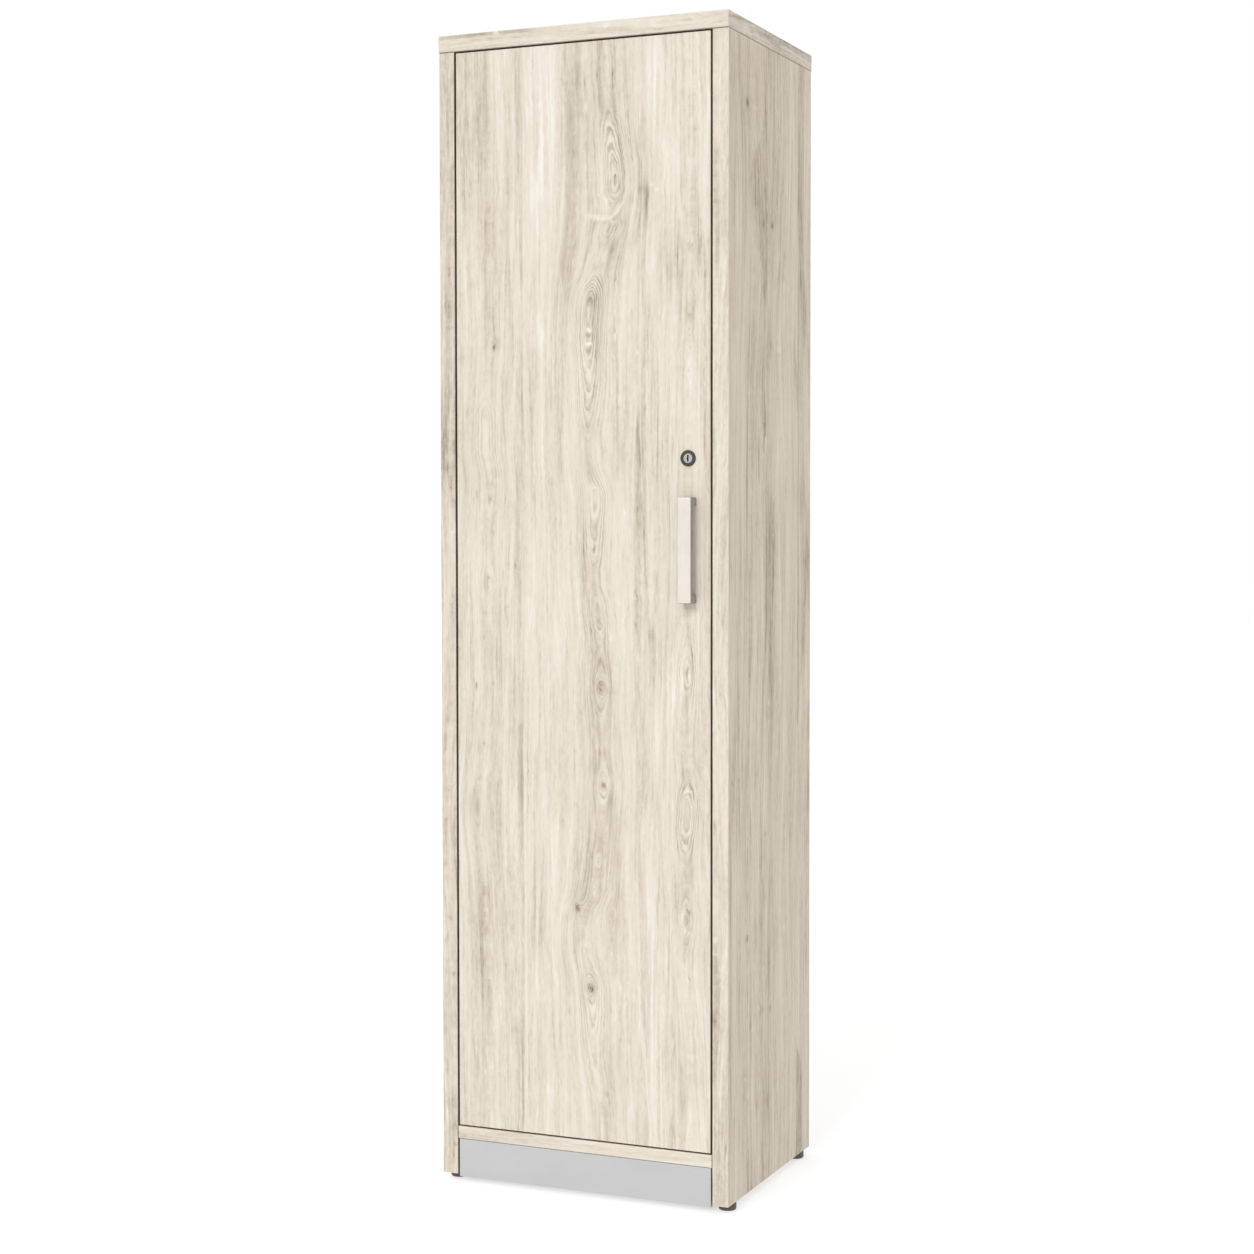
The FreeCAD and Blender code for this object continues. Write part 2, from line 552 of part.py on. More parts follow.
RAIL_Z0, RAIL_Z1 = 1400.0, 1440.0
RAIL_T = 16.0
RY1 = YB - T_BACK
RY0 = RY1 - RAIL_T
rail = box(-185.0, 185.0, RY0, RY1, RAIL_Z0, RAIL_Z1)
rail = rail.makeFillet(2.0, edges_where(rail, lambda e: at(mid(e).y, RY0)))
hooks, hook_screws, rail_holes = [], [], []
for x in (-115.0, 0.0, 115.0):
    back = box(x - 8.0, x + 8.0, RY0 - 2.5, RY0, RAIL_Z0 + 2.5, RAIL_Z1 - 2.5)
    back = back.makeFillet(3.0, edges_where(back, lambda e: along(e, 1)))
    zc = (RAIL_Z0 + RAIL_Z1) / 2.0
    r, bend = 3.5, 9.0
    run = 26.0
    peg = cyl(r, (x, RY0 - 1.0, zc), (0, -1, 0), run)
    y_end = RY0 - 1.0 - run
    turn = Part.makeCircle(r, V(x, y_end, zc), V(0, 1, 0))
    turn = Part.Face(Part.Wire(turn)).revolve(V(x, y_end, zc + bend), V(1, 0, 0), -90.0)
    up = cyl(r, (x, y_end - bend, zc + bend), (0, 0, 1), 10.0)
    ball = Part.makeSphere(5.0, V(x, y_end - bend, zc + bend + 13.0))
    hook = join(back, peg, turn, up, ball)
    holes = []
    for s in (-1, 1):
        p = (x, RY0 - 2.5, zc + s * 12.0)
        hook_screws.append(screw(p, (0, 1, 0), 1.5, 14.0, 2.9, 1.5))
        hole = screw_hole(p, (0, 1, 0), 1.5, 14.0)
        holes.append(hole)
        rail_holes.append(hole)
    hooks.append(less(hook, holes))
for x in (-160.0, -57.0, 57.0, 160.0):
    p = (x, YB - BACK_SCREW["head_h"], (RAIL_Z0 + RAIL_Z1) / 2.0)
    s = screw(p, (0, -1, 0), 1.6, 18.0, 3.2, 1.8)
    back_screws.append(s)
    hole = screw_hole(p, (0, -1, 0), 1.6, 18.0)
    rail_holes.append(hole)
    cut_back.append(hole)
    cut_back.append(cyl(3.2, (x, YB, p[2]), (0, -1, 0), 1.8))
save("hook_rail", less(rail, rail_holes))
save("broom_hooks", hooks)
save("hook_screws", hook_screws)
save("back_panel_screws", back_screws)

# ---------------------------------------------------------------- boards of the carcass

save("cam_fittings", cams)
save("cam_bolts", cam_bolts)
save("wood_dowels", dowels)

for sx, cuts, name in ((-1, cut_left, "left"), (1, cut_right, "right")):
    xa, xb = sorted((sx * XO, sx * XI))
    panel = box(xa, xb, YF + BAND, YB, SIDE_Z0, ZT)
    xc, xd = sorted((sx * XI, sx * (XI + REBATE)))
    rebate = box(xc, xd, YB - T_BACK, YB + 1.0, BOT_Z0, ZT + 1.0)
    save("side_panel_" + name, less(panel, [rebate] + cuts))
    band = box(xa, xb, YF, YF + BAND, SIDE_Z0, ZT)
    band = band.makeFillet(R_BAND, edges_where(band, lambda e: along(e, 2) and at(mid(e).y, YF)))
    save("side_band_" + name, band)

bottom = box(-XI, XI, YF + BOT_RECESS + BAND, YB - T_BACK, BOT_Z0, BOT_Z1)
save("bottom_panel", less(bottom, cut_bottom))
bband = box(-XI + BOT_BAND_END, XI - BOT_BAND_END, YF + BOT_RECESS, YF + BOT_RECESS + BAND, BOT_Z0, BOT_Z1)
bband = bband.makeFillet(R_BAND, edges_where(
    bband, lambda e: along(e, 0) and at(mid(e).y, YF + BOT_RECESS)))
save("bottom_band", bband)

back = box(-XI - REBATE, XI + REBATE, YB - T_BACK, YB, BOT_Z0, ZT)
save("back_panel", less(back, cut_back))

tx = XO + TOP_OVER_S
ty0, ty1 = YF - TOP_OVER_F, YB + TOP_OVER_R
top = box(-tx, tx, ty0, ty1, ZT, HEIGHT)
top = top.makeFillet(R_BAND, edges_where(
    top, lambda e: at(mid(e).y, ty0) or at(abs(mid(e).x), tx) and along(e, 1)))
save("top_panel", less(box(-tx + BAND, tx - BAND, ty0 + BAND, ty1, ZT, HEIGHT), cut_top))
save("top_band_front", top.common(box(-big, big, -big, ty0 + BAND, -big, big)))
save("top_band_left", top.common(box(-big, -tx + BAND, ty0 + BAND, big, -big, big)))
save("top_band_right", top.common(box(tx - BAND, big, ty0 + BAND, big, -big, big)))
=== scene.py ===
import math
import bpy
from mathutils import Matrix, Vector

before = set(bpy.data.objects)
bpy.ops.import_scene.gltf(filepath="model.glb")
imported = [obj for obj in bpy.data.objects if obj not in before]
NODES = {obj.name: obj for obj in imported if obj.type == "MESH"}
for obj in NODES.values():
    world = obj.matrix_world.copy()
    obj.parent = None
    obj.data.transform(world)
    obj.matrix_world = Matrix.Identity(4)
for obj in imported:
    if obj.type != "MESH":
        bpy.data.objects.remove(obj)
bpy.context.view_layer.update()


# ------------------------------------------------------------ node expressions
class Val:
    """A float in a shader tree; arithmetic on it adds Math nodes."""

    def __init__(self, tree, socket):
        self.tree, self.socket = tree, socket

    def op(self, name, *rest, clamp=False):
        n = self.tree.nodes.new("ShaderNodeMath")
        n.operation = name
        n.use_clamp = clamp
        for i, o in enumerate((self,) + rest):
            if isinstance(o, Val):
                self.tree.links.new(o.socket, n.inputs[i])
            else:
                n.inputs[i].default_value = float(o)
        return Val(self.tree, n.outputs[0])

    def rop(self, name, first):
        n = self.tree.nodes.new("ShaderNodeMath")
        n.operation = name
        n.inputs[0].default_value = float(first)
        self.tree.links.new(self.socket, n.inputs[1])
        return Val(self.tree, n.outputs[0])

    def __add__(self, o): return self.op("ADD", o)
    def __radd__(self, o): return self.op("ADD", o)
    def __sub__(self, o): return self.op("SUBTRACT", o)
    def __rsub__(self, o): return self.rop("SUBTRACT", o)
    def __mul__(self, o): return self.op("MULTIPLY", o)
    def __rmul__(self, o): return self.op("MULTIPLY", o)
    def __truediv__(self, o): return self.op("DIVIDE", o)
    def __neg__(self): return self.op("MULTIPLY", -1.0)
    def abs(self): return self.op("ABSOLUTE")
    def sqrt(self): return self.op("SQRT")
    def sin(self): return self.op("SINE")
    def floor(self): return self.op("FLOOR")
    def fract(self): return self.op("FRACT")
    def exp(self): return self.op("EXPONENT")
    def max(self, o): return self.op("MAXIMUM", o)
    def min(self, o): return self.op("MINIMUM", o)
    def pow(self, o): return self.op("POWER", o)
    def gt(self, o): return self.op("GREATER_THAN", o)
    def lt(self, o): return self.op("LESS_THAN", o)
    def madd(self, m, a): return self.op("MULTIPLY_ADD", m, a)

    def ramp(self, lo, hi, a=0.0, b=1.0):
        """Smooth step from a at lo to b at hi."""
        n = self.tree.nodes.new("ShaderNodeMapRange")
        n.interpolation_type = "SMOOTHSTEP"
        self.tree.links.new(self.socket, n.inputs["Value"])
        for k, x in zip(("From Min", "From Max", "To Min", "To Max"), (lo, hi, a, b)):
            n.inputs[k].default_value = x
        return Val(self.tree, n.outputs["Result"])

    def curve(self, points, x0, x1, y0, y1):
        """A smooth curve through points, given in the units of x0..x1 and y0..y1."""
        x = (self - x0) * (1.0 / (x1 - x0))
        n = self.tree.nodes.new("ShaderNodeFloatCurve")
        self.tree.links.new(x.socket, n.inputs["Value"])
        c = n.mapping.curves[0]
        pts = sorted(((px - x0) / (x1 - x0), (py - y0) / (y1 - y0)) for px, py in points)
        while len(c.points) < len(pts):
            c.points.new(0.5, 0.5)
        for q, (px, py) in zip(c.points, pts):
            q.location = (px, py)
            q.handle_type = "AUTO_CLAMPED"
        n.mapping.update()
        return Val(self.tree, n.outputs[0]) * (y1 - y0) + y0


def vec(tree, *xyz):
    n = tree.nodes.new("ShaderNodeCombineXYZ")
    for i, o in enumerate(xyz):
        if isinstance(o, Val):
            tree.links.new(o.socket, n.inputs[i])
        else:
            n.inputs[i].default_value = float(o)
    return n.outputs[0]


def noise(tree, x, y, z=0.0, detail=2.0, rough=0.5, lac=2.0):
    n = tree.nodes.new("ShaderNodeTexNoise")
    n.noise_dimensions = "3D"
    n.inputs["Scale"].default_value = 1.0
    n.inputs["Detail"].default_value = detail
    n.inputs["Roughness"].default_value = rough
    n.inputs["Lacunarity"].default_value = lac
    tree.links.new(vec(tree, x, y, z), n.inputs["Vector"])
    return Val(tree, n.outputs[0])


def white(tree, x):
    n = tree.nodes.new("ShaderNodeTexWhiteNoise")
    n.noise_dimensions = "1D"
    tree.links.new(x.socket, n.inputs["W"])
    return Val(tree, n.outputs["Value"])


def colour_ramp(tree, fac, stops, interp="LINEAR"):
    n = tree.nodes.new("ShaderNodeValToRGB")
    n.color_ramp.interpolation = interp
    tree.links.new(fac.socket, n.inputs[0])
    e = n.color_ramp.elements
    while len(e) < len(stops):
        e.new(0.5)
    for el, (p, c) in zip(e, stops):
        el.position = p
        el.color = (*c, 1.0)
    return n.outputs[0]


def mix_colour(tree, fac, a, b, mode="MIX"):
    n = tree.nodes.new("ShaderNodeMix")
    n.data_type = "RGBA"
    n.blend_type = mode
    if isinstance(fac, Val):
        tree.links.new(fac.socket, n.inputs[0])
    else:
        n.inputs[0].default_value = fac
    for s, i in ((a, 6), (b, 7)):
        if isinstance(s, bpy.types.NodeSocket):
            tree.links.new(s, n.inputs[i])
        else:
            n.inputs[i].default_value = (*s, 1.0)
    return n.outputs[2]


def new_material(name):
    m = bpy.data.materials.new(name)
    m.use_nodes = True
    t = m.node_tree
    return m, t, t.nodes["Principled BSDF"]


def object_xyz(tree):
    n = tree.nodes.new("ShaderNodeTexCoord")
    s = tree.nodes.new("ShaderNodeSeparateXYZ")
    tree.links.new(n.outputs["Object"], s.inputs[0])
    return [Val(tree, o) for o in s.outputs]


def object_normal(tree):
    n = tree.nodes.new("ShaderNodeTexCoord")
    s = tree.nodes.new("ShaderNodeSeparateXYZ")
    tree.links.new(n.outputs["Normal"], s.inputs[0])
    return [Val(tree, o) for o in s.outputs]


def bump(tree, bsdf, height, strength, distance):
    n = tree.nodes.new("ShaderNodeBump")
    n.inputs["Strength"].default_value = strength
    n.inputs["Distance"].default_value = distance
    tree.links.new(height.socket, n.inputs["Height"])
    tree.links.new(n.outputs[0], bsdf.inputs["Normal"])


def lin(r, g, b, k=1.0):
    """A display colour (0..255) as a linear one, times k, which is a number or three."""
    out = []
    for c, f in zip((r, g, b), k if isinstance(k, tuple) else (k, k, k)):
        c /= 255.0
        out.append((c / 12.92 if c <= 0.04045 else ((c + 0.055) / 1.055) ** 2.4) * f)
    return tuple(out)


# ------------------------------------------------------------ pale oak laminate
LIT = 1.0 / 1.34          # the front is lit a little over 1, so albedo is display colour times this

OAK = (LIT * 0.982, LIT * 0.980, LIT * 0.976)     # the sheen adds white, so the albedo is a touch warmer

WARM = [(0.00, lin(126, 115, 98, OAK)), (0.14, lin(170, 159, 141, OAK)), (0.30, lin(204, 194, 177, OAK)),
        (0.45, lin(224, 214, 198, OAK)), (0.58, lin(234, 226, 211, OAK)), (0.74, lin(241, 235, 222, OAK)),
        (1.00, lin(251, 248, 240, OAK))]
ROSY = [(0.00, lin(124, 113, 99, OAK)), (0.14, lin(168, 156, 141, OAK)), (0.30, lin(203, 191, 175, OAK)),
        (0.45, lin(223, 212, 196, OAK)), (0.58, lin(233, 223, 209, OAK)), (0.74, lin(240, 232, 220, OAK)),
        (1.00, lin(250, 246, 239, OAK))]


def crown(a, b, lift, width, blunt=0.005):
    """Ring distance, a metres from the line that the grain runs along and b metres from the crown's axis. lift is how
    far the rings are pulled in on the axis, so that they close in loops where it peaks; width is how far that reaches."""
    g = b * (1.0 / width)
    return (a * a + blunt * blunt).sqrt() - lift * (g * g * -1.0).exp()


def oak(tree, u, v, p, q, axis_near, tone, marks=None, contrast=1.0, seed=0.0, lines=1.0,
        tint=(1.0, 1.0, 1.0), veins=1.0):
    """Colour, roughness and height of oak laminate. u is across the grain and v along it, in metres; p is the ring
    distance, q tells the two sides of a crown and the planks apart, axis_near is 1 at a crown's axis."""
    # in patches the figure runs in small waves
    patch = noise(tree, u * 22.0, v * 7.0, seed + 81.0, 2.0).ramp(0.48, 0.66)
    wave = noise(tree, u * 95.0, v * 55.0, seed + 87.0, 2.0) - 0.5
    p = p + (patch * 0.0085 + 0.0014) * wave + axis_near * wave * 0.0040
    N = lambda su, sv, off, detail=2.0, rough=0.5: noise(
        tree, p * su, v * sv, q + (seed + off), detail, rough) - 0.5
    broad = N(24.0, 1.2, 3.1, 3.0, 0.55)
    medium = N(85.0, 3.6, 11.7, 2.0)
    fine = N(300.0, 9.0, 23.9, 2.0, 0.55)
    fibre = N(260.0, 34.0, 29.3, 2.0, 0.6)
    hair = N(1150.0, 34.0, 37.3, 1.0)
    pores = N(1700.0, 60.0, 51.1, 1.0)
    gate = N(34.0, 6.0, 61.3, 2.0)
    # growth rings, clearest round a crown, and broken up along their length
    s = (p * (1.0 / 0.0056) + fine * 0.50 + medium * 0.9).fract()
    pale = s.ramp(0.00, 0.12) * s.ramp(0.12, 0.55, 1.0, 0.0)
    dark = s.ramp(0.40, 0.86) * s.ramp(0.88, 1.00, 1.0, 0.0)
    rings = (pale * 0.95 - dark + 0.08) * (axis_near * 0.165 + 0.012) * (gate * 2.6 + 0.95).max(0.1)
    pore = (pores * -1.0).ramp(0.10, 0.20) * gate.ramp(-0.10, 0.12, 0.25, 1.0)
    flame = fibre.ramp(0.12, 0.26) * (gate * -1.0).ramp(-0.03, 0.12)
    shade = (fibre * -1.0).ramp(0.13, 0.28) * gate.ramp(-0.03, 0.12)
    drift = noise(tree, u * 13.0, v * 1.1, q * 3.0 + (seed + 91.0), 2.0) - 0.5
    cloud = noise(tree, u * 7.0, v * 5.5, seed + 95.0, 3.0, 0.55) - 0.5
    fleck = noise(tree, p * 170.0, v * 75.0, seed + 97.0, 3.0, 0.65) - 0.5
    # long thin lines that run with the figure, in patches
    strand = lambda off: (noise(tree, p * 62.0, v * 2.4, q * 2.0 + (seed + off), 1.0) - 0.5).abs().ramp(0.0, 0.075, 1.0, 0.0)
    where = noise(tree, u * 24.0, v * 2.6, seed + 119.0, 2.0)
    strands = strand(113.0) * where.ramp(0.42, 0.58) * 0.125 - strand(131.0) * where.ramp(0.40, 0.56, 1.0, 0.0) * 0.095
    l = contrast * lines
    t = broad * (0.40 * contrast) + medium * (0.44 * l) + drift * (0.30 * contrast) + cloud * (0.26 * contrast)
    t = t + fine * (0.40 * l) + fibre * (0.32 * l) + hair * (0.17 * l) + fleck * (0.34 * l)
    t = t + rings - pore * (0.11 * lines) + flame * (0.21 * lines) - shade * (0.15 * lines) + strands * veins + tone
    if marks is not None:
        t = t + marks * (fibre * 2.4 + fine * 2.0 + fleck * 2.0 + 1.05)
    hue = noise(tree, u * 16.0, v * 1.3, seed + 71.0, 1.0).ramp(0.36, 0.64, 0.15, 0.85)
    tinted = lambda stops: [(at, tuple(a * b for a, b in zip(c, tint))) for at, c in stops]
    colour = mix_colour(tree, hue, colour_ramp(tree, t, tinted(WARM)), colour_ramp(tree, t, tinted(ROSY)))
    rough = fine * 0.16 + pore * 0.10 + medium * 0.10 + 0.47
    height = hair * 0.5 - pore * 0.8 + fibre * 0.4
    return colour, rough, height


def spots(tree, um, vm, items, start=None):
    """Adds soft ellipses of tone: (across mm, along mm, half width mm, half length mm, amount)."""
    xy = vec(tree, um, vm, 0.0)
    total = start
    for cu, cv, su, sv, amount in items:
        m = tree.nodes.new("ShaderNodeVectorMath")
        m.operation = "MULTIPLY_ADD"
        tree.links.new(xy, m.inputs[0])
        m.inputs[1].default_value = (1000.0 / su, 1000.0 / sv, 0.0)
        m.inputs[2].default_value = (-cu / su, -cv / sv, 0.0)
        d = tree.nodes.new("ShaderNodeVectorMath")
        d.operation = "DOT_PRODUCT"
        tree.links.new(m.outputs[0], d.inputs[0])
        tree.links.new(m.outputs[0], d.inputs[1])
        g = Val(tree, d.outputs["Value"]).rop("POWER", math.exp(-1.0))
        total = g * amount if total is None else g.madd(amount, total)
    return total


def lenses(tree, um, vm, items):
    """Like spots, but pointed along the grain."""
    total = None
    for cu, cv, su, sv, amount in items:
        du = (um * 1000.0 - cu) * (1.0 / su)
        dv = (vm * 1000.0 - cv).abs() * (1.0 / sv)
        g = ((du * du + dv) * -1.0).exp()
        total = g * amount if total is None else g.madd(amount, total)
    return total


SHADE_AND_GRIME = (0.20, 0.175, 0.145)     # the tone of painted shade in the gaps and seams round the door and under the top, also used for the back's darker marks


def finish_oak(tree, bsdf, colour, rough, height, shade_and_grime=None):
    # where the mask is set the colour is darkened: painted shade in the gaps and seams, and the back's darker marks
    if shade_and_grime is not None:
        colour = mix_colour(tree, shade_and_grime, colour, SHADE_AND_GRIME, "MULTIPLY")
    tree.links.new(colour, bsdf.inputs["Base Color"])
    tree.links.new(rough.socket, bsdf.inputs["Roughness"])
    bsdf.inputs["Specular IOR Level"].default_value = 0.32
    bump(tree, bsdf, height, 0.10, 0.0002)


def wander(tree, u, v, seed):
    big = noise(tree, u * 7.0, v * 1.7, seed, 1.0) - 0.5
    small = noise(tree, u * 34.0, v * 8.0, seed + 5.0, 1.0) - 0.5
    return u + big * 0.010 + small * 0.0035


# ---- the door: three planks, each with a crown whose axis and depth run along the height
Z0, Z1 = 60.0, 1860.0
LEFT_AXIS = [(60, -160), (340, -165), (500, -175), (610, -186), (700, -175), (820, -165), (1000, -166), (1060, -165),
             (1140, -160), (1200, -168), (1280, -167), (1358, -161), (1500, -160), (1860, -162)]
LEFT_LIFT = [(60, 0), (330, 1), (560, 1), (612, 4), (700, 1), (810, 3), (850, 1), (930, 2), (985, 7), (1016, 2),
             (1060, 2), (1110, 4), (1150, 8), (1200, 9), (1250, 8), (1280, 2), (1330, 1), (1430, 0), (1520, 1), (1640, 2),
             (1730, 1), (1860, 0)]
MID_AXIS = [(60, 38), (160, 33), (230, 20), (338, 14), (400, 3), (445, 6), (494, 24), (545, 30), (600, 34), (664, 38),
            (740, 35), (817, 35), (880, 34), (940, 29), (1000, 22), (1115, 24), (1150, 16), (1210, 12), (1300, 15),
            (1380, 14), (1420, 16), (1460, 24), (1500, 36), (1540, 48), (1580, 57), (1620, 58), (1660, 53), (1724, 47), (1860, 44)]
MID_LIFT = [(60, 0), (150, 1), (200, 3), (250, 6), (300, 9), (338, 10), (360, 4), (400, 3), (440, 2), (474, 3), (494, 5),
            (545, 5), (580, 2), (620, 2), (664, 4), (700, 2), (740, 1), (780, 4), (817, 7), (840, 6), (870, 4), (900, 6),
            (930, 9), (955, 8), (970, 3), (985, 2), (1020, 7), (1080, 13), (1115, 17), (1135, 13), (1152, 7), (1182, 1),
            (1210, 2), (1250, 9), (1300, 18), (1340, 26), (1381, 33), (1415, 34), (1440, 25), (1458, 10), (1476, 1),
            (1502, 1), (1522, 6), (1544, 10), (1560, 4), (1572, 5), (1588, 15), (1604, 26), (1625, 25), (1660, 18),
            (1700, 9), (1720, 3), (1742, 1), (1770, 4), (1800, 4), (1830, 2), (1860, 0)]
RIGHT_AXIS = [(60, 196), (200, 190), (300, 184), (400, 175), (444, 180), (480, 180), (560, 177), (650, 182),
              (740, 176), (830, 178), (1000, 182), (1300, 183), (1500, 188), (1860, 190)]
RIGHT_LIFT = [(60, 0), (300, 1), (400, 2), (437, 4), (470, 5), (505, 1), (540, 1), (565, 6), (590, 13), (620, 19),
              (645, 16), (668, 5), (700, 1), (740, 1), (780, 5), (820, 10), (845, 13), (875, 9), (905, 4), (950, 1),
              (1100, 1), (1303, 4), (1400, 1), (1860, 0)]
# where the grain parts round knots: (across mm, along mm, half width mm, half length mm, metres)
DOOR_KNOTS = [
    (36, 816, 9, 15, 0.010), (39, 661, 7, 12, 0.009), (-9, 464, 6, 12, 0.010), (14, 337, 7, 12, 0.010),
    (22, 495, 6, 11, 0.010), (30, 540, 6, 10, 0.006), (-151, 1358, 5, 9, 0.007), (180, 455, 7, 12, 0.009),
    (66, 1540, 6, 7, 0.006), (-104, 1341, 4, 8, 0.004), (-160, 980, 6, 10, 0.006), (-187, 612, 9, 20, 0.006),
    (183, 838, 4, 16, 0.006), (12, 1160, 9, 14, 0.006),
]
# the darker heart of the middle plank lies between these two lines
HEART_LEFT = [(60, 12), (200, 10), (300, -2), (337, -6), (370, -4), (400, -14), (440, -17), (470, -20), (500, -14),
              (550, -13), (616, -6), (650, 2), (680, 6), (700, 2), (740, 10), (780, 8), (816, 14), (850, 16), (880, 6),
              (950, -2), (1080, -4), (1150, -12), (1200, -8), (1250, -8), (1340, -12), (1400, -14), (1440, -28),
              (1480, -34), (1540, -28), (1620, -22), (1720, -20), (1830, -6), (1860, -4)]
HEART_RIGHT = [(60, 55), (200, 50), (300, 42), (337, 44), (370, 42), (400, 52), (440, 66), (480, 76), (520, 74),
               (560, 71), (620, 66), (660, 60), (700, 56), (740, 46), (780, 50), (816, 56), (850, 54), (880, 50),
               (950, 52), (1080, 52), (1150, 62), (1200, 44), (1250, 32), (1340, 38), (1400, 44), (1440, 58),
               (1480, 84), (1540, 108), (1600, 112), (1640, 104), (1720, 88), (1830, 84), (1860, 82)]
# tone across the door, light to the right of the left plank
DOOR_TONE = [(-250, -0.055), (-205, -0.045), (-190, -0.065), (-165, -0.06), (-140, -0.005), (-122, -0.035), (-104, -0.11),
             (-99, 0.04), (-85, 0.045), (-60, 0.09), (-38, 0.03), (-15, 0.045), (15, 0.01), (42, -0.015), (70, 0.0),
             (90, 0.02), (100, -0.01), (108, -0.025), (116, 0.055), (142, 0.075), (160, 0.015), (172, -0.025), (190, -0.05),
             (250, -0.04)]

# how strong the long thin lines are across the door
DOOR_VEINS = [(-250, 1.1), (-165, 1.0), (-140, 1.15), (-120, 1.4), (-109, 0.9), (-101, 0.9), (-93, 2.0), (-80, 2.1), (-60, 1.6), (-40, 1.4), (-15, 0.9),
              (0, 0.7), (34, 0.7), (60, 0.9), (80, 1.1), (100, 1.5), (120, 2.0), (150, 1.8), (182, 1.6), (250, 1.4)]
# the wider bend of the grain round the larger knots
DOOR_BENDS = [(36, 816, 24, 42, 0.012), (39, 661, 20, 36, 0.011), (-9, 464, 16, 30, 0.008), (14, 337, 20, 40, 0.012),
              (180, 455, 15, 26, 0.008), (-151, 1358, 14, 26, 0.006)]
# where the rings fade, in the middle of the closed loops, and where they are clearer (negative)
DOOR_CORES = [(15, 1404, 13, 44, 0.85), (57, 1612, 7, 20, 0.45), (24, 1112, 10, 32, 0.75), (29, 935, 9, 26, 0.75),
              (36, 816, 13, 24, 0.65), (39, 661, 10, 18, 0.55), (14, 338, 14, 28, 0.70), (178, 618, 8, 32, 0.75),
              (180, 845, 7, 22, 0.60), (22, 495, 8, 14, 0.5), (180, 455, 8, 14, 0.6), (14, 1272, 26, 55, -0.75),
              (25, 1048, 22, 42, -0.65), (178, 574, 14, 24, -0.7), (182, 796, 12, 28, -0.6), (56, 1660, 16, 40, -0.35),
              (16, 290, 18, 24, -0.4), (38, 880, 18, 28, -0.4)]

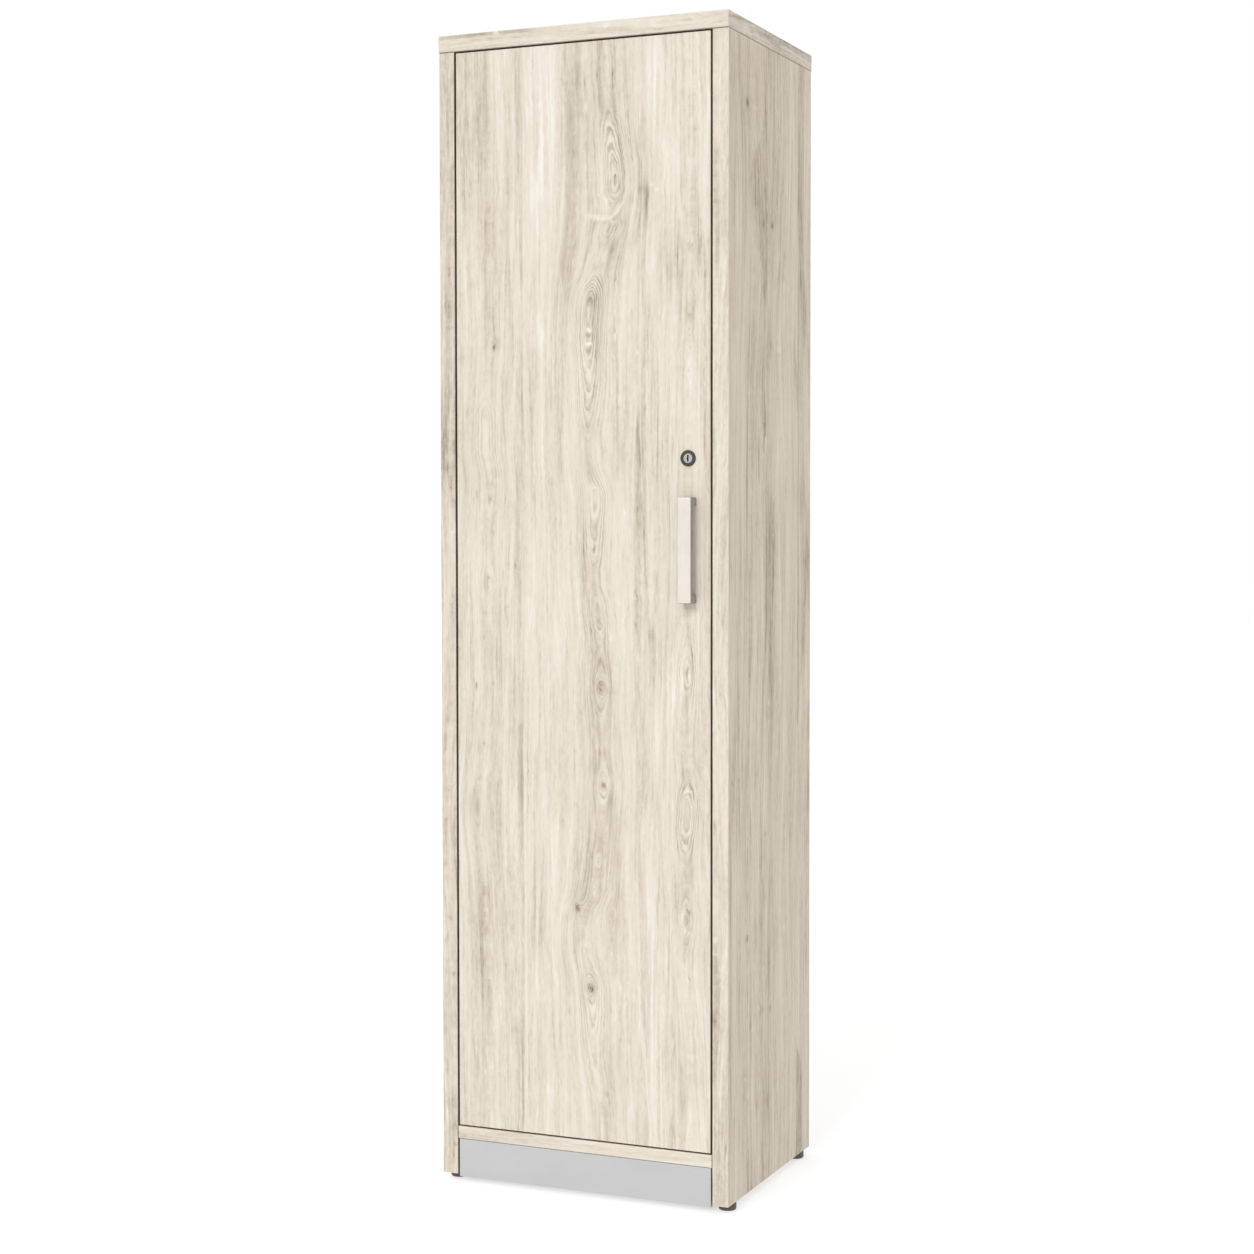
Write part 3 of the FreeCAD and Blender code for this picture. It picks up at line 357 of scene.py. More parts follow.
DOOR_SPOTS = [
    # knots: a dark ring of tone and a lighter heart
    (36, 816, 10, 11, -0.34), (36, 815, 5, 5, 0.28), (35, 814, 2.4, 2.4, -0.30), (46, 822, 4, 6, 0.12), (35, 838, 5, 13, -0.05), (32, 782, 3, 7, -0.12),
    (39, 661, 6, 7.5, -0.34), (48, 664, 3, 9, 0.20), (37, 669, 5, 3, 0.12), (26, 690, 12, 18, -0.09), (50, 640, 6, 16, -0.12),
    (-8.5, 463, 5, 8, -0.36), (-12, 484, 3, 9, -0.10), (-26, 464, 13, 3, 0.07), (-4, 417, 7, 16, -0.12),
    (15, 337, 6, 7, -0.34), (15, 337, 11, 15, -0.07), (13, 318, 4, 6, -0.10), (67, 338, 2, 10, 0.12), (62, 350, 2, 9, 0.10),
    (22, 497, 3, 5, 0.14), (22, 486, 7, 3, 0.08), (28, 508, 3, 6, 0.08),
    (-152, 1358, 3.4, 5, -0.36), (-145, 1365, 10, 10, -0.11), (-104, 1341, 2.5, 5, -0.24),
    (-117, 1008, 2.5, 5, -0.24), (66, 1602, 4, 5, -0.10), (-172, 478, 3, 5, -0.20), (-22, 296, 2, 5, -0.16),
    # dark edges of the heart
    (-19, 1700, 5, 60, -0.10), (-23, 1600, 6, 55, -0.14), (-28, 1520, 5, 50, -0.13), (-32, 1478, 3, 22, -0.14),
    (-5, 1780, 5, 40, -0.06), (51, 610, 6, 34, -0.10), (60, 545, 8, 40, -0.10), (66, 490, 8, 16, -0.08),
    (-9, 545, 3.5, 40, -0.13), (-13, 690, 1.8, 18, -0.20), (-43, 790, 1.6, 60, -0.08), (-12, 820, 4, 30, 0.09),
    (-4, 790, 3, 20, 0.07), (56, 700, 3, 40, 0.06),
    # the upper crown's lower swirl and the speckled streak beside it
    (68, 1580, 5, 5, -0.12), (70, 1545, 4, 8, -0.16), (60, 1540, 3, 7, -0.12), (47, 1528, 3, 14, -0.14),
    (51, 1505, 5, 10, -0.14), (56, 1548, 5, 3, 0.20), (30, 1575, 18, 8, 0.07), (52, 1532, 14, 22, -0.05),
    (112, 1572, 3.5, 28, -0.26), (106, 1596, 8, 6, -0.14), (116, 1590, 3, 12, -0.14), (130, 1594, 3, 3, 0.34),
    (122, 1602, 5, 3, 0.14), (92, 1638, 3, 5, 0.16), (97, 1622, 2, 6, 0.12), (171, 1590, 1.6, 26, -0.22),
    (177, 1580, 3, 10, 0.10), (104, 1700, 2.5, 26, -0.18), (101, 1712, 2, 12, 0.14), (108, 1660, 2.5, 20, -0.14),
    (-90, 1728, 6, 12, 0.08), (-100, 1712, 8, 34, -0.08), (-100, 1790, 5, 40, -0.07), (-165, 1800, 3, 50, -0.07),
    # dots and dark heart of the middle crown
    (15, 1380, 3.2, 2.6, 0.62), (16, 1357, 4.2, 2.4, 0.52), (14, 1371, 9, 4, -0.08), (14, 1348, 8, 4, -0.07),
    (18, 1425, 7, 10, -0.14), (14, 1404, 2.0, 9, 0.24), (6, 1440, 2.2, 14, 0.14), (2, 1420, 2.2, 14, 0.10),
    (30, 1430, 8, 16, -0.07), (4, 1400, 4, 20, -0.05), (13, 1212, 2.2, 4.0, 0.34),
    (12, 1170, 16, 22, -0.07), (22, 1155, 10, 12, -0.07), (182, 1303, 2, 5, 0.34), (183, 1322, 1.6, 8, 0.14),
    (104, 1188, 4, 36, -0.18), (99, 1222, 2.5, 26, -0.12), (106, 1425, 2, 22, -0.16), (98, 1342, 2.5, 5, 0.18),
    (97, 1322, 3, 4, 0.12), (68, 1190, 4, 36, -0.06), (78, 1092, 3, 10, 0.13), (60, 1335, 2, 3, 0.12),
    (25, 1072, 2, 7, -0.14), (-3, 1075, 2.5, 14, -0.10), (-172, 1272, 5, 12, 0.07), (-176, 1150, 10, 40, -0.07),
    (-183, 1122, 2, 9, -0.20), (-148, 1158, 16, 9, -0.08), (-158, 1000, 4, 8, 0.12), (-160, 975, 5, 6, 0.12),
    # lower half: edge streak of the left plank, pale streaks of the right crown
    (-107, 670, 4.5, 70, -0.15), (-108, 745, 5, 12, -0.14), (-104, 560, 4, 16, -0.08), (-187, 812, 2.2, 8, -0.34),
    (-155, 816, 2, 4, -0.16), (-185, 770, 2, 9, -0.18), (-183, 712, 2.5, 10, -0.16), (-191, 640, 3, 8, -0.16),
    (-200, 618, 14, 26, -0.12), (-150, 850, 26, 26, -0.05), (-105, 905, 3, 34, 0.08), (-112, 900, 3, 30, -0.10),
    (118, 902, 4, 16, -0.17), (156, 895, 4, 26, -0.12), (178, 862, 3.5, 12, 0.26),
    (184, 834, 2.5, 14, 0.24), (172, 826, 2, 12, 0.18), (178, 846, 2.5, 10, -0.20), (178, 800, 2.5, 18, -0.14),
    (184, 786, 2, 16, 0.18), (181, 660, 3, 8, 0.24), (178, 568, 3, 9, 0.30), (171, 592, 2.2, 14, 0.16),
    (185, 596, 2.2, 14, 0.14), (180, 612, 4, 16, -0.08), (176, 630, 2, 12, 0.12),
    (180, 455, 6, 8, -0.12), (178, 440, 5, 4, 0.18), (184, 468, 3, 5, -0.16), (172, 462, 2, 8, 0.14), (146, 395, 1.5, 55, 0.22),
    (150, 395, 1.2, 55, -0.16), (152, 330, 1.5, 50, 0.12), (180, 370, 2, 32, 0.16), (186, 270, 2.2, 50, 0.12),
    (60, 400, 3, 40, -0.06), (57, 352, 2, 12, 0.10), (42, 160, 3, 6, 0.16), (44, 170, 3, 5, -0.16),
    (35, 115, 2.5, 12, 0.16), (-100, 190, 4, 22, 0.08), (-104, 210, 5, 30, -0.06), (-104, 372, 2, 16, -0.08),
    (178, 185, 12, 40, -0.08), (50, 210, 3, 24, -0.07), (-28, 130, 4, 30, -0.06), (-190, 300, 2, 22, -0.10),
]


def door_oak():
    m, t, bsdf = new_material("oak_door")
    x, y, z = object_xyz(t)
    rear = y.gt(-0.1702)
    u0 = x + (y + 0.1805) + rear * 1.37
    v0 = z + rear * 0.83
    u = wander(t, u0, v0, 2.0)
    zmm = z * 1000.0 + (noise(t, u0 * 60.0, v0 * 30.0, 8.0, 1.0) - 0.5) * 9.0
    umm = u * 1000.0 - rear * 1370.0
    edge = noise(t, v0 * 14.0, v0 * 3.0, 4.0, 2.0) - 0.5
    left = (umm + edge * 5.0).lt(-101.0)
    right = (umm - edge * 6.0).gt(152.0)

    um = u + (noise(t, u0 * 150.0, v0 * 60.0, 14.0, 2.0) - 0.5) * 0.004
    vm = z + (noise(t, u0 * 220.0, v0 * 40.0, 19.0, 2.0) - 0.5) * 0.012
    knots = spots(t, u, z, DOOR_KNOTS) * (1.0 - rear)
    bends = lenses(t, u, z, DOOR_BENDS) * (1.0 - rear)

    def crown_at(base, axis, lift, width):
        # the axis wanders, and the grain goes with it nearby but stays straight further off
        b = umm - zmm.curve(axis, Z0, Z1, -260, 260)
        a = umm - base - (umm - base - b) * (b * b * (-1.0 / 2400.0)).exp()
        d = zmm.curve(lift, Z0, Z1, 0, 50) * 0.001
        p = crown(a * 0.001, b * 0.001, d, width, 0.009)
        side = a.ramp(-70, 70, -1.4, 1.4)
        near = (b * b * (-1.0 / (1150.0 * width) ** 2)).exp() * d.ramp(0.001, 0.014, 0.12, 1.0)
        return p, side, near

    pm, sm, nm = crown_at(34.0, MID_AXIS, MID_LIFT, 0.024)
    pl, sl, nl = crown_at(-165.0, LEFT_AXIS, LEFT_LIFT, 0.018)
    pr, sr, nr = crown_at(182.0, RIGHT_AXIS, RIGHT_LIFT, 0.017)
    pick = lambda a, b, c: a + (b - a) * left + (c - a) * right
    p = pick(pm, pl, pr) - knots - bends
    q = pick(sm, sl + 9.0, sr + 17.0) + rear * 31.0
    core = spots(t, u, z, DOOR_CORES)
    near = pick(nm, nl * 0.8, nr * 1.2).max(knots * 62.0).max(bends * 14.0) * (1.0 - core)
    in_left = (um * 1000.0 - zmm.curve(HEART_LEFT, Z0, Z1, -260, 260)).ramp(-5.0, 7.0)
    in_right = (zmm.curve(HEART_RIGHT, Z0, Z1, -260, 260) - um * 1000.0).ramp(-6.0, 8.0)
    tone = umm.curve(DOOR_TONE, -260, 260, -0.2, 0.2) - in_left * in_right * (1.0 - rear) * zmm.ramp(1000, 1460, 0.075, 0.102) + 0.570
    # the left plank ends in a darker edge, and the next one begins pale
    joint = umm + edge * 5.0 + 101.0
    part_way = noise(t, 0.3, v0 * 4.5, 33.0, 2.0).ramp(0.36, 0.62, 0.25, 1.0) * (1.0 - rear)
    tone = tone - joint.ramp(-11.0, -0.6) * joint.ramp(-0.6, 0.4, 1.0, 0.0) * part_way * 0.085
    tone = tone + joint.ramp(-0.2, 0.8) * joint.ramp(0.8, 9.0, 1.0, 0.0) * part_way * 0.050
    marks = spots(t, um, vm, DOOR_SPOTS)
    # the pale streak that crosses the grain below the upper crown
    rise = (um - 0.046).max(0.0)
    fall = (um - 0.034).min(0.0)
    bow = rise * rise * 34.0 - fall * 0.20 + 1.5540
    off = (z + (vm - z) * 0.35 - bow) * (1.0 / 0.0036)
    length = um.ramp(-0.002, 0.030) * um.ramp(0.062, 0.078, 1.0, 0.0) * (1.0 - rear)
    under = off + 2.2
    tone = tone + length * ((off * off * -1.0).exp() * 0.25 - (under * under * -0.8).exp() * 0.095)
    marks = marks * (1.0 - rear)
    colour, rough, height = oak(t, u, v0, p, q, near, tone, marks, veins=umm.curve(DOOR_VEINS, -260, 260, 0.0, 2.5))
    # painted shade: the door's edges are darkened a little way into the gap round it
    rim = x.abs().ramp(0.2192, 0.2197).max(z.ramp(1.8300, 1.8305)).max(z.ramp(0.0939, 0.0944, 1.0, 0.0))
    shade_and_grime = rim * y.ramp(-0.1802, -0.1786) * y.ramp(-0.170, -0.163, 0.62, 0.12)
    finish_oak(t, bsdf, colour, rough, height, shade_and_grime)
    return m


def plank_oak(name, along, across, flip, seed, tone_points=None, marks=None, base=0.50, contrast=1.0, period=0.145,
              lines=1.0, figure=0.020, zones=(), knots=None, shade_and_grime=None, tint=(1.0, 1.0, 1.0), veins=1.0):
    """Oak with generated crowns. along and across build (u, v) from x, y, z; flip gives 1 on the hidden face."""
    m, t, bsdf = new_material(name)
    x, y, z = object_xyz(t)
    u0, v0, f = across(x, y, z), along(x, y, z), flip(x, y, z)
    if f is not None:
        u1, v1 = u0 + f * 1.93, v0 + f * 0.71
    else:
        u1, v1 = u0, v0
    u = wander(t, u1, v1, seed)
    w = u + (noise(t, u1 * 6.0, 0.0, seed + 2.0, 1.0) - 0.5) * 0.09
    cell = (w * (1.0 / period)).floor()
    rnd = white(t, cell + (seed + 0.37))
    axis = noise(t, cell * 5.3, v1 * 1.6, seed + 6.0, 1.0) - 0.5
    dx = (w * (1.0 / period)).fract() * period - period * 0.5 + axis * (period * 0.5)
    d = (noise(t, cell * 3.7 + 11.0, v1 * 2.4, seed + 9.0, 1.5).ramp(0.48, 0.78)) * figure
    p = crown(dx, dx, d, 0.022)
    show = 1.0 if f is None else 1.0 - f
    parted = None
    if knots is not None:
        parted = spots(t, u0, v0, knots) * show
        p = p - parted
    q = (dx * 1000.0).ramp(-70, 70, -1.4, 1.4) + cell * 7.0
    near = (dx * dx * -1200.0).exp() * d.ramp(0.001, 0.012, 0.1, 0.8)
    if parted is not None:
        near = near.max(parted * 90.0)
    tone = (rnd - 0.5) * 0.10 + base
    if tone_points is not None:
        visible = (u * 1000.0).curve(tone_points, -260, 260, -0.2, 0.2)
        tone = tone + (visible * (1.0 - f) if f is not None else visible)
    mk = None
    um = u0 + (noise(t, u0 * 150.0, v0 * 60.0, 14.0, 2.0) - 0.5) * 0.004 + (noise(t, v0 * 9.0, u0 * 9.0, 15.0, 2.0) - 0.5) * 0.010
    for near_edge, far_edge, amount, soft_near, soft_far in zones:
        lo = (um * 1000.0 - (v0 * 1000.0).curve(near_edge, 0, 1860, -260, 260)).ramp(-soft_near, soft_near)
        hi = ((v0 * 1000.0).curve(far_edge, 0, 1860, -260, 260) - um * 1000.0).ramp(-soft_far, soft_far)
        tone = tone + lo * hi * show * amount
    if marks is not None:
        vm = v0 + (noise(t, u0 * 220.0, v0 * 40.0, 19.0, 2.0) - 0.5) * 0.012
        mk = spots(t, um, vm, marks) * 1.15
        if f is not None:
            mk = mk * (1.0 - f)
    colour, rough, height = oak(t, u, v1, p, q, near, tone, mk, contrast, seed, lines, tint, veins)
    finish_oak(t, bsdf, colour, rough, height, None if shade_and_grime is None else shade_and_grime(x, y, z))
    return m


def place(material, *names):
    for n in names:
        o = NODES[n]
        o.data.materials.clear()
        o.data.materials.append(material)


SIDE_TONE = [(-260, 0.0), (-182, -0.09), (-172, -0.10), (-164, 0.02), (-150, 0.03), (-128, 0.02), (-112, -0.02), (-95, -0.02),
             (-80, 0.01), (-60, 0.0), (-30, 0.0), (0, 0.0), (24, 0.02), (40, 0.04), (60, 0.04), (100, 0.05), (133, 0.06),
             (137, 0.05), (150, 0.03), (176, 0.02), (196, 0.02), (203, -0.04), (260, -0.02)]
# two darker hearts, each between two lines up the panel
SIDE_MID_NEAR = [(0, -18), (100, -18), (220, -20), (290, -22), (330, -20), (450, -20), (525, -38), (590, -20), (700, -14),
                 (790, -18), (920, -20), (980, -20), (1060, -38), (1130, -36), (1230, -34), (1320, -32), (1400, -24),
                 (1470, -26), (1530, -70), (1620, -84), (1660, -62), (1700, -30), (1770, -20), (1860, -16)]
SIDE_MID_FAR = [(0, 18), (100, 18), (220, 12), (290, 14), (330, 18), (450, 12), (525, 20), (590, 16), (700, 18), (790, 30),
                (920, 34), (980, 36), (1040, 38), (1100, 30), (1130, 10), (1200, -2), (1280, -4), (1340, 8), (1400, 18),
                (1500, 20), (1620, 22), (1700, 26), (1860, 24)]
SIDE_BACK_NEAR = [(0, 138), (1860, 139)]
SIDE_BACK_FAR = [(0, 172), (100, 168), (170, 160), (200, 136), (230, 120), (700, 120), (740, 140), (800, 158), (860, 172),
                 (930, 182), (1000, 192), (1080, 190), (1130, 178), (1200, 170), (1330, 168), (1430, 184), (1500, 172),
                 (1600, 168), (1720, 170), (1860, 174)]
# below about 700 mm these two strips are a little darker
SIDE_LOW_BACK = [(0, 116), (560, 112), (680, 120), (760, 175), (820, 250), (1860, 258)]
SIDE_LOW_FRONT = [(0, -24), (480, -24), (620, -34), (720, -70), (790, -120), (1860, -140)]
SIDE_KNOTS = [
    (-98, 1732, 10, 16, 0.010), (14, 1553, 8, 12, 0.008), (-25, 1552, 8, 14, 0.006), (12, 1358, 8, 10, 0.007),
    (-15, 1235, 10, 30, 0.008), (-100, 417, 8, 12, 0.008), (-16, 575, 7, 10, 0.007), (-32, 292, 10, 14, 0.009),
    (10, 290, 8, 12, 0.007), (-110, 196, 7, 9, 0.007), (-135, 674, 5, 7, 0.006),
]
SIDE_SPOTS = [
    # knots and the marks beside them
    (-98, 1732, 7, 7, -0.24), (-98, 1731, 14, 20, -0.07), (-62, 1729, 12, 4, 0.10), (-74, 1680, 12, 22, 0.05),
    (12, 1554, 7, 6, -0.20), (-24, 1552, 6, 8, -0.12), (-6, 1552, 6, 3, 0.12), (-70, 1550, 14, 14, 0.05),
    (12, 1360, 6, 8, -0.20), (42, 1357, 15, 5, 0.11), (48, 1349, 15, 3, -0.07), (64, 1356, 4, 5, -0.08), (-24, 1450, 4, 12, -0.14), (0, 1440, 2.5, 30, 0.14),
    (-18, 1240, 6, 30, -0.10), (-12, 1205, 2.5, 5, 0.18), (2, 1190, 3, 12, -0.10), (24, 1040, 4, 10, -0.08),
    (22, 1000, 4, 16, -0.08), (-44, 1150, 4, 12, -0.10), (-100, 1140, 4, 60, -0.15), (-100, 1220, 4, 40, -0.10),
    (150, 1470, 6, 30, -0.13), (158, 1480, 5, 18, -0.10), (146, 1700, 3, 60, -0.09), (157, 1110, 4, 30, -0.11),
    (180, 1010, 4, 14, -0.12), (143, 880, 3, 46, -0.16), (-174, 1100, 3, 80, -0.15), (-166, 1370, 3, 60, -0.08),
    (-172, 1050, 2.5, 40, 0.12), (52, 1140, 3, 60, -0.07), (40, 1150, 10, 50, 0.06),
    (2, 785, 4, 4, 0.24), (-8, 765, 3, 14, -0.12), (-14, 745, 2.5, 18, 0.14), (-135, 674, 5, 5, -0.22),
    (-165, 672, 3, 4, -0.20), (-132, 640, 3, 36, -0.08), (-100, 690, 10, 16, -0.07), (60, 780, 3, 20, -0.09),
    (-16, 575, 6, 6, -0.20), (-24, 540, 8, 14, -0.07), (105, 560, 3, 20, -0.14), (195, 620, 6, 40, -0.14),
    (193, 740, 5, 30, -0.12), (-170, 510, 4, 70, -0.15), (-100, 418, 7, 6, -0.18), (-92, 390, 8, 12, -0.09),
    (-12, 470, 6, 10, -0.14), (0, 450, 6, 12, -0.06), (-32, 292, 8, 6, -0.18), (10, 288, 7, 6, -0.16),
    (-10, 330, 5, 14, -0.10), (-75, 270, 14, 8, 0.09), (-110, 196, 6, 3.5, 0.26), (-110, 200, 12, 10, -0.09),
    (-118, 170, 10, 22, -0.06), (-3, 140, 4, 16, -0.16), (-55, 140, 3, 12, -0.12), (44, 150, 2.5, 10, 0.16),
    (-75, 16, 4, 8, -0.14), (60, 210, 8, 40, 0.05),
]

SHORT = lambda x, y, z: None


def side_shade_and_seam(x, y, z):
    """Painted shade on the inner front edge beside the door and in the joint under the top, and a dark line on the rear
    edge beside the back panel.
    """
    gap = x.abs().ramp(0.2235, 0.2240, 1.0, 0.0) * y.ramp(-0.1802, -0.1786) * y.ramp(-0.171, -0.165, 0.66, 0.0)
    rear = x.abs().ramp(0.2336, 0.2352, 0.60, 0.0) * y.gt(0.2030) * z.ramp(0.0690, 0.0705)
    return gap.max(z.ramp(1.8318, 1.8328) * 0.55).max(rear)


def level_gap_shade(x, y, z):
    """Painted shade on both faces beside the door's top and bottom edges, a little way into the gap."""
    top = z.ramp(1.8336, 1.8340, 1.0, 0.0) * z.gt(1.8)
    low = z.ramp(0.0906, 0.0911) * z.lt(0.1)
    return top.max(low) * y.ramp(-0.1800, -0.1786) * y.ramp(-0.172, -0.166, 0.50, 0.0)


BACK_SCREWS = [(s * 228.4, z, 4.8, 4.8, 0.75) for s in (-1, 1) for z in (140, 460, 780, 1100, 1400, 1740)] + \
              [(x, 80.9, 4.8, 4.8, 0.75) for x in (-140, 0, 140)] + [(x, 1420, 4.8, 4.8, 0.75) for x in (-160, -57, 57, 160)]


def back_darkening(x, y, z):
    """On the rear face: a dark line along the panel's rim, a soft darker band inside it, and a dark rim round each
    screw.
    """
    line = x.abs().ramp(0.2312, 0.2328).max(z.ramp(1.8312, 1.8328)).max(z.ramp(0.0712, 0.0728, 1.0, 0.0))
    dust = x.abs().ramp(0.2130, 0.2330).max(z.ramp(1.8080, 1.8330)).max(z.ramp(0.0710, 0.0960, 1.0, 0.0))
    screws = spots(x.tree, x, z, BACK_SCREWS)
    return (line * 0.62).max(dust * dust * 0.16).max(screws * 0.8) * y.gt(0.2030)


def band_shade(x, y, z):
    """Painted shade along the lower edge of the top's front band, and on the ends and edges of the rail under the door,
    in the joints and gaps there.
    """
    top = z.ramp(1.8336, 1.8345, 0.55, 0.0) * z.gt(1.8)
    ends = x.abs().ramp(0.2212, 0.2221, 0.0, 0.62)
    edge = z.ramp(0.0710, 0.0718, 0.40, 0.0).max(z.ramp(0.0905, 0.0911, 0.0, 0.45) * y.ramp(-0.1797, -0.1786))
    return top.max(ends.max(edge) * z.lt(0.1))


place(door_oak(), "door_panel", "door_bands_upright", "door_bands_level")
# the right side's tint is painted shade: it makes this side a little darker and warmer than the left one
place(plank_oak("oak_side_right", lambda x, y, z: z, lambda x, y, z: y + (0.250 - x),
                lambda x, y, z: x.lt(0.2367), 21.0, SIDE_TONE, SIDE_SPOTS, 0.505, lines=0.88, figure=0.006,
                zones=((SIDE_MID_NEAR, SIDE_MID_FAR, -0.108, 4.0, 5.0), (SIDE_BACK_NEAR, SIDE_BACK_FAR, -0.205, 2.0, 7.0),
                       (SIDE_LOW_BACK, [(0, 258), (1860, 258)], -0.055, 9.0, 2.0),
                       ([(0, -104), (1860, -104)], SIDE_LOW_FRONT, -0.050, 10.0, 9.0)),
                knots=SIDE_KNOTS, shade_and_grime=side_shade_and_seam, tint=(0.988, 0.956, 0.929), veins=1.5), "side_panel_right")
place(plank_oak("oak_side_left", lambda x, y, z: z, lambda x, y, z: y * -1.0 + (x + 0.250),
                lambda x, y, z: x.gt(-0.2367), 43.0, base=0.51, lines=0.85, figure=0.014, shade_and_grime=side_shade_and_seam),
      "side_panel_left")
place(plank_oak("oak_side_bands", lambda x, y, z: z, lambda x, y, z: x * 1.0 + y + 0.1805, SHORT, 57.0,
                tone_points=[(-260, -0.02), (-200, -0.02), (200, 0.0), (260, 0.0)], base=0.485, contrast=0.95, lines=1.2,
                figure=0.0, shade_and_grime=side_shade_and_seam), "side_band_left", "side_band_right")
place(plank_oak("oak_level", lambda x, y, z: x, lambda x, y, z: y + z, SHORT, 64.0, base=0.51, lines=0.85, figure=0.014,
                shade_and_grime=level_gap_shade), "top_panel", "bottom_panel", "shelf", "hook_rail")
place(plank_oak("oak_level_bands", lambda x, y, z: x, lambda x, y, z: y + z, SHORT, 69.0, base=0.53, contrast=0.85,
                lines=1.3, figure=0.0, shade_and_grime=band_shade), "top_band_front", "bottom_band", "shelf_band")
# the top's side bands get a painted shade line along their lower edge, in the joint over the sides
place(plank_oak("oak_top_ends", lambda x, y, z: y, lambda x, y, z: z + x, SHORT, 77.0, base=0.50, contrast=1.0,
                lines=1.2, figure=0.0, shade_and_grime=lambda x, y, z: z.ramp(1.8336, 1.8346, 0.60, 0.0)), "top_band_left",
      "top_band_right")
place(plank_oak("oak_back", lambda x, y, z: z, lambda x, y, z: x, lambda x, y, z: y.gt(0.1995), 85.0, base=0.50,
                contrast=0.9, lines=0.85, figure=0.014, shade_and_grime=back_darkening, tint=(0.945, 0.938, 0.930)), "back_panel")


# ------------------------------------------------------------ metals, foil, plastics
def simple(name, base, vary, rough, metallic=0.0, spec=0.5, scale=(60.0, 60.0, 60.0), rough_var=0.12, bump_h=0.0,
           fine=900.0, detail=3.0):
    """A surface with two scales of colour and roughness variation."""
    m, t, b = new_material(name)
    x, y, z = object_xyz(t)
    n1 = noise(t, x * scale[0], y * scale[1], z * scale[2], detail, 0.55)
    n2 = noise(t, x * fine, y * fine, z * fine, 2.0)
    f = n1 * 0.7 + n2 * 0.3
    t.links.new(colour_ramp(t, f, [(0.30, tuple(c * (1.0 - vary) for c in base)), (0.5, base),
                                   (0.70, tuple(min(1.0, c * (1.0 + vary)) for c in base))]), b.inputs["Base Color"])
    r = (n1 - 0.5) * rough_var + (n2 - 0.5) * (rough_var * 0.8) + rough
    t.links.new(r.socket, b.inputs["Roughness"])
    b.inputs["Metallic"].default_value = metallic
    b.inputs["Specular IOR Level"].default_value = spec
    if bump_h:
        bump(t, b, n2, bump_h, 0.0002)
    return m


def brushed(name, base, rough, axis, metallic=1.0, painted_shade_at=None):
    """Satin metal with fine lines along one axis. The last argument tells where shade is painted into the colour, 0 to
    1.
    """
    m, t, b = new_material(name)
    c = object_xyz(t)
    s = [2600.0, 2600.0, 2600.0]
    s[axis] = 28.0
    lines = noise(t, c[0] * s[0], c[1] * s[1], c[2] * s[2], 2.0)
    cloud = noise(t, c[0] * 45.0, c[1] * 45.0, c[2] * 45.0, 2.0)
    f = lines * 0.6 + cloud * 0.4
    colour = colour_ramp(t, f, [(0.3, tuple(k * 0.93 for k in base)), (0.7, tuple(min(1.0, k * 1.04) for k in base))])
    # painted shade: the colour is darkened where the mask is 1
    if painted_shade_at is not None:
        colour = mix_colour(t, painted_shade_at(*c), colour, (0.10, 0.092, 0.080), "MULTIPLY")
    t.links.new(colour, b.inputs["Base Color"])
    r = (lines - 0.5) * 0.22 + (cloud - 0.5) * 0.10 + rough
    t.links.new(r.socket, b.inputs["Roughness"])
    b.inputs["Metallic"].default_value = metallic
    bump(t, b, lines, 0.06, 0.0001)
    return m


# the handle's sides get painted shade: behind the front face the colour is darkened
place(brushed("satin_nickel", (0.715, 0.675, 0.617), 0.38, 2, 0.5, lambda x, y, z: y.ramp(-0.2053, -0.2042, 0.0, 0.62)),
      "pull_handle")
place(brushed("hook_nickel", (0.55, 0.53, 0.50), 0.34, 2), "broom_hooks")
place(simple("silver_foil", lin(202, 202, 204, LIT), 0.035, 0.42, 0.0, 0.45, (9.0, 9.0, 26.0), 0.10, 0.08, 1500.0),
      "plinth_board")
place(simple("zinc_plate", (0.46, 0.46, 0.455), 0.10, 0.36, 1.0, scale=(140.0, 140.0, 140.0)),
      "plinth_brackets", "back_panel_screws", "plinth_screws", "hinge_plate_screws", "hinge_arm_screws",
      "hinge_cup_screws", "lock_strike_screws", "door_stop_screws", "hook_screws", "handle_screws", "lock_cam_screw",
      "cam_bolts", "lock_strike", "lock_cam", "lock_nut", "shelf_pins", "glide_inserts", "glide_stud_front_left",
      "glide_stud_front_right", "glide_stud_rear_left", "glide_stud_rear_right")
place(simple("cast_zinc", (0.38, 0.38, 0.385), 0.14, 0.52, 1.0, scale=(300.0, 300.0, 300.0), bump_h=0.2, fine=1800.0),
      "cam_fittings")
place(brushed("nickel_plate", (0.50, 0.495, 0.485), 0.27, 2), "hinge_cups", "hinge_pins", "hinge_arms",
      "hinge_mounting_plates")
place(simple("dark_bronze", (0.046, 0.038, 0.028), 0.20, 0.45, 0.0, 0.40, (220.0, 220.0, 220.0)), "lock_housing")
# painted shade: the inside of the keyway, behind the plug's front, is darkened
place(brushed("plug_nickel", (0.47, 0.47, 0.48), 0.34, 0, 0.7, lambda x, y, z: y.ramp(-0.1824, -0.1821, 0.0, 1.0)),
      "lock_plug")
place(simple("glide_plastic", (0.085, 0.074, 0.058), 0.18, 0.48, 0.0, 0.40, (160.0, 160.0, 160.0), bump_h=0.15),
      "glide_base_front_left", "glide_base_front_right", "glide_base_rear_left", "glide_base_rear_right")
place(simple("stop_plastic", (0.46, 0.44, 0.41), 0.06, 0.5, 0.0, 0.4, (120.0, 120.0, 120.0), bump_h=0.12), "door_stops")
place(simple("beech", (0.55, 0.39, 0.24), 0.16, 0.6, 0.0, 0.3, (700.0, 700.0, 60.0), bump_h=0.2), "wood_dowels")

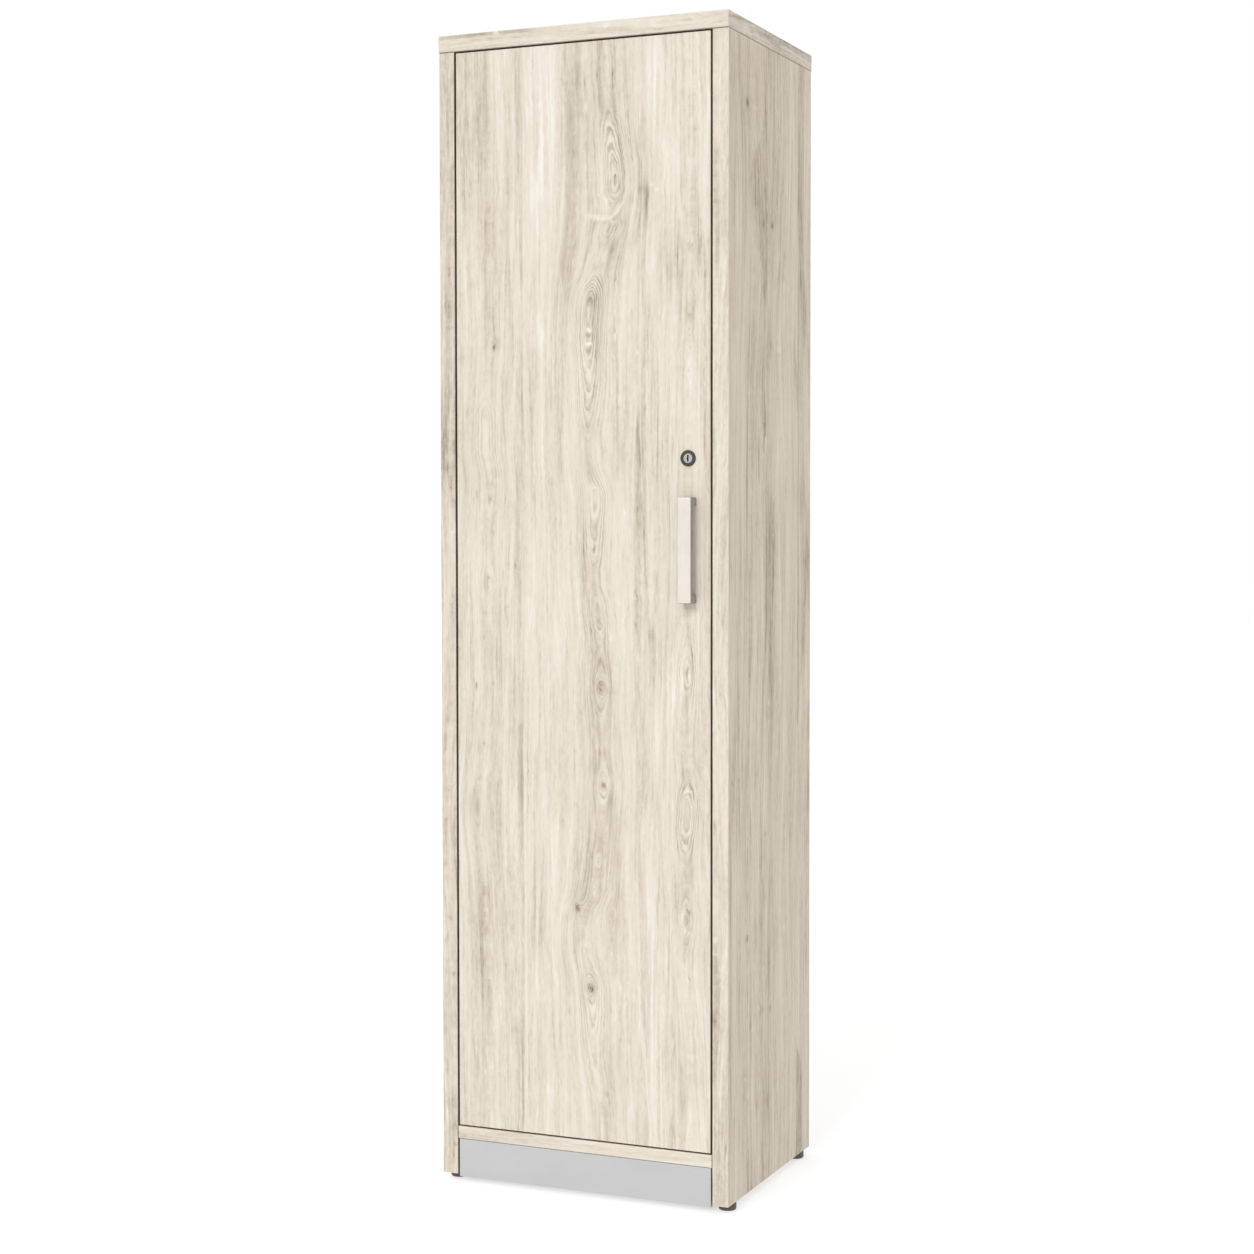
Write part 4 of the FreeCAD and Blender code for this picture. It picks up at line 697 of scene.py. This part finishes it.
# ------------------------------------------------------------ floor, light and camera
mesh = bpy.data.meshes.new("studio_floor")
s = 20.0
mesh.from_pydata([(-s, -s, 0), (s, -s, 0), (s, s, 0), (-s, s, 0)], [], [(0, 1, 2, 3)])
floor = bpy.data.objects.new("studio_floor", mesh)
floor.location = (0.0, 0.0, -0.0005)
bpy.context.scene.collection.objects.link(floor)
fm, ft, fb = new_material("studio_floor")
fx, fy, fz = object_xyz(ft)
fn = noise(ft, fx * 3.0, fy * 3.0, 0.0, 3.0)
ft.links.new(colour_ramp(ft, fn, [(0.3, (0.445, 0.445, 0.445)), (0.7, (0.455, 0.455, 0.455))]), fb.inputs["Base Color"])
fb.inputs["Roughness"].default_value = 0.9
fb.inputs["Specular IOR Level"].default_value = 0.0
fb.inputs["Emission Color"].default_value = (1.0, 1.0, 1.0, 1.0)
fb.inputs["Emission Strength"].default_value = 0.58
mesh.materials.append(fm)

world = bpy.data.worlds.new("studio")
bpy.context.scene.world = world
world.use_nodes = True
wt = world.node_tree
wt.nodes.clear()
tc = wt.nodes.new("ShaderNodeTexCoord")
dot = wt.nodes.new("ShaderNodeVectorMath")
dot.operation = "DOT_PRODUCT"
wt.links.new(tc.outputs["Generated"], dot.inputs[0])
dot.inputs[1].default_value = Vector((0.10, 0.16, 0.98)).normalized()
lobe = Val(wt, dot.outputs["Value"]).ramp(-0.70, 0.90)
glow = colour_ramp(wt, lobe, [(0.0, (0.48, 0.455, 0.426)), (1.0, (1.02, 1.02, 1.01))])
lp = wt.nodes.new("ShaderNodeLightPath")
shown = mix_colour(wt, Val(wt, lp.outputs["Is Camera Ray"]), glow, (1.0, 1.0, 1.0))
bg = wt.nodes.new("ShaderNodeBackground")
wt.links.new(shown, bg.inputs["Color"])
bg.inputs["Strength"].default_value = 1.0
wo = wt.nodes.new("ShaderNodeOutputWorld")
wt.links.new(bg.outputs[0], wo.inputs["Surface"])


sun_data = bpy.data.lights.new("key", "SUN")
sun_data.energy = 1.42
sun_data.angle = math.radians(24.0)
sun_data.color = (1.0, 0.995, 0.985)
sun = bpy.data.objects.new("key", sun_data)
bpy.context.scene.collection.objects.link(sun)
sun.rotation_euler = Vector((0.06, 0.86, -0.50)).to_track_quat("-Z", "Y").to_euler()

yaw, pitch, roll = 0.4109255, -0.0362714, -0.0010793
look = Vector((-math.sin(yaw) * math.cos(pitch), math.cos(yaw) * math.cos(pitch), math.sin(pitch)))
rt = Vector((math.cos(yaw), math.sin(yaw), 0.0))
up = rt.cross(look)
rr = rt * math.cos(roll) + up * math.sin(roll)
uu = up * math.cos(roll) - rt * math.sin(roll)
cam_data = bpy.data.cameras.new("camera")
cam_data.sensor_fit = "HORIZONTAL"
cam_data.sensor_width = 36.0
cam_data.lens = 2307.3252 * 36.0 / 1254.0
cam_data.shift_y = -0.02
cam_data.clip_start = 0.05
cam_data.clip_end = 100.0
cam = bpy.data.objects.new("camera", cam_data)
bpy.context.scene.collection.objects.link(cam)
back = -look
cam.matrix_world = Matrix(((rr.x, uu.x, back.x, 1.5253608), (rr.y, uu.y, back.y, -3.4986929),
                           (rr.z, uu.z, back.z, 1.0837751), (0.0, 0.0, 0.0, 1.0)))
bpy.context.scene.camera = cam
bpy.context.scene.view_settings.view_transform = "Standard"
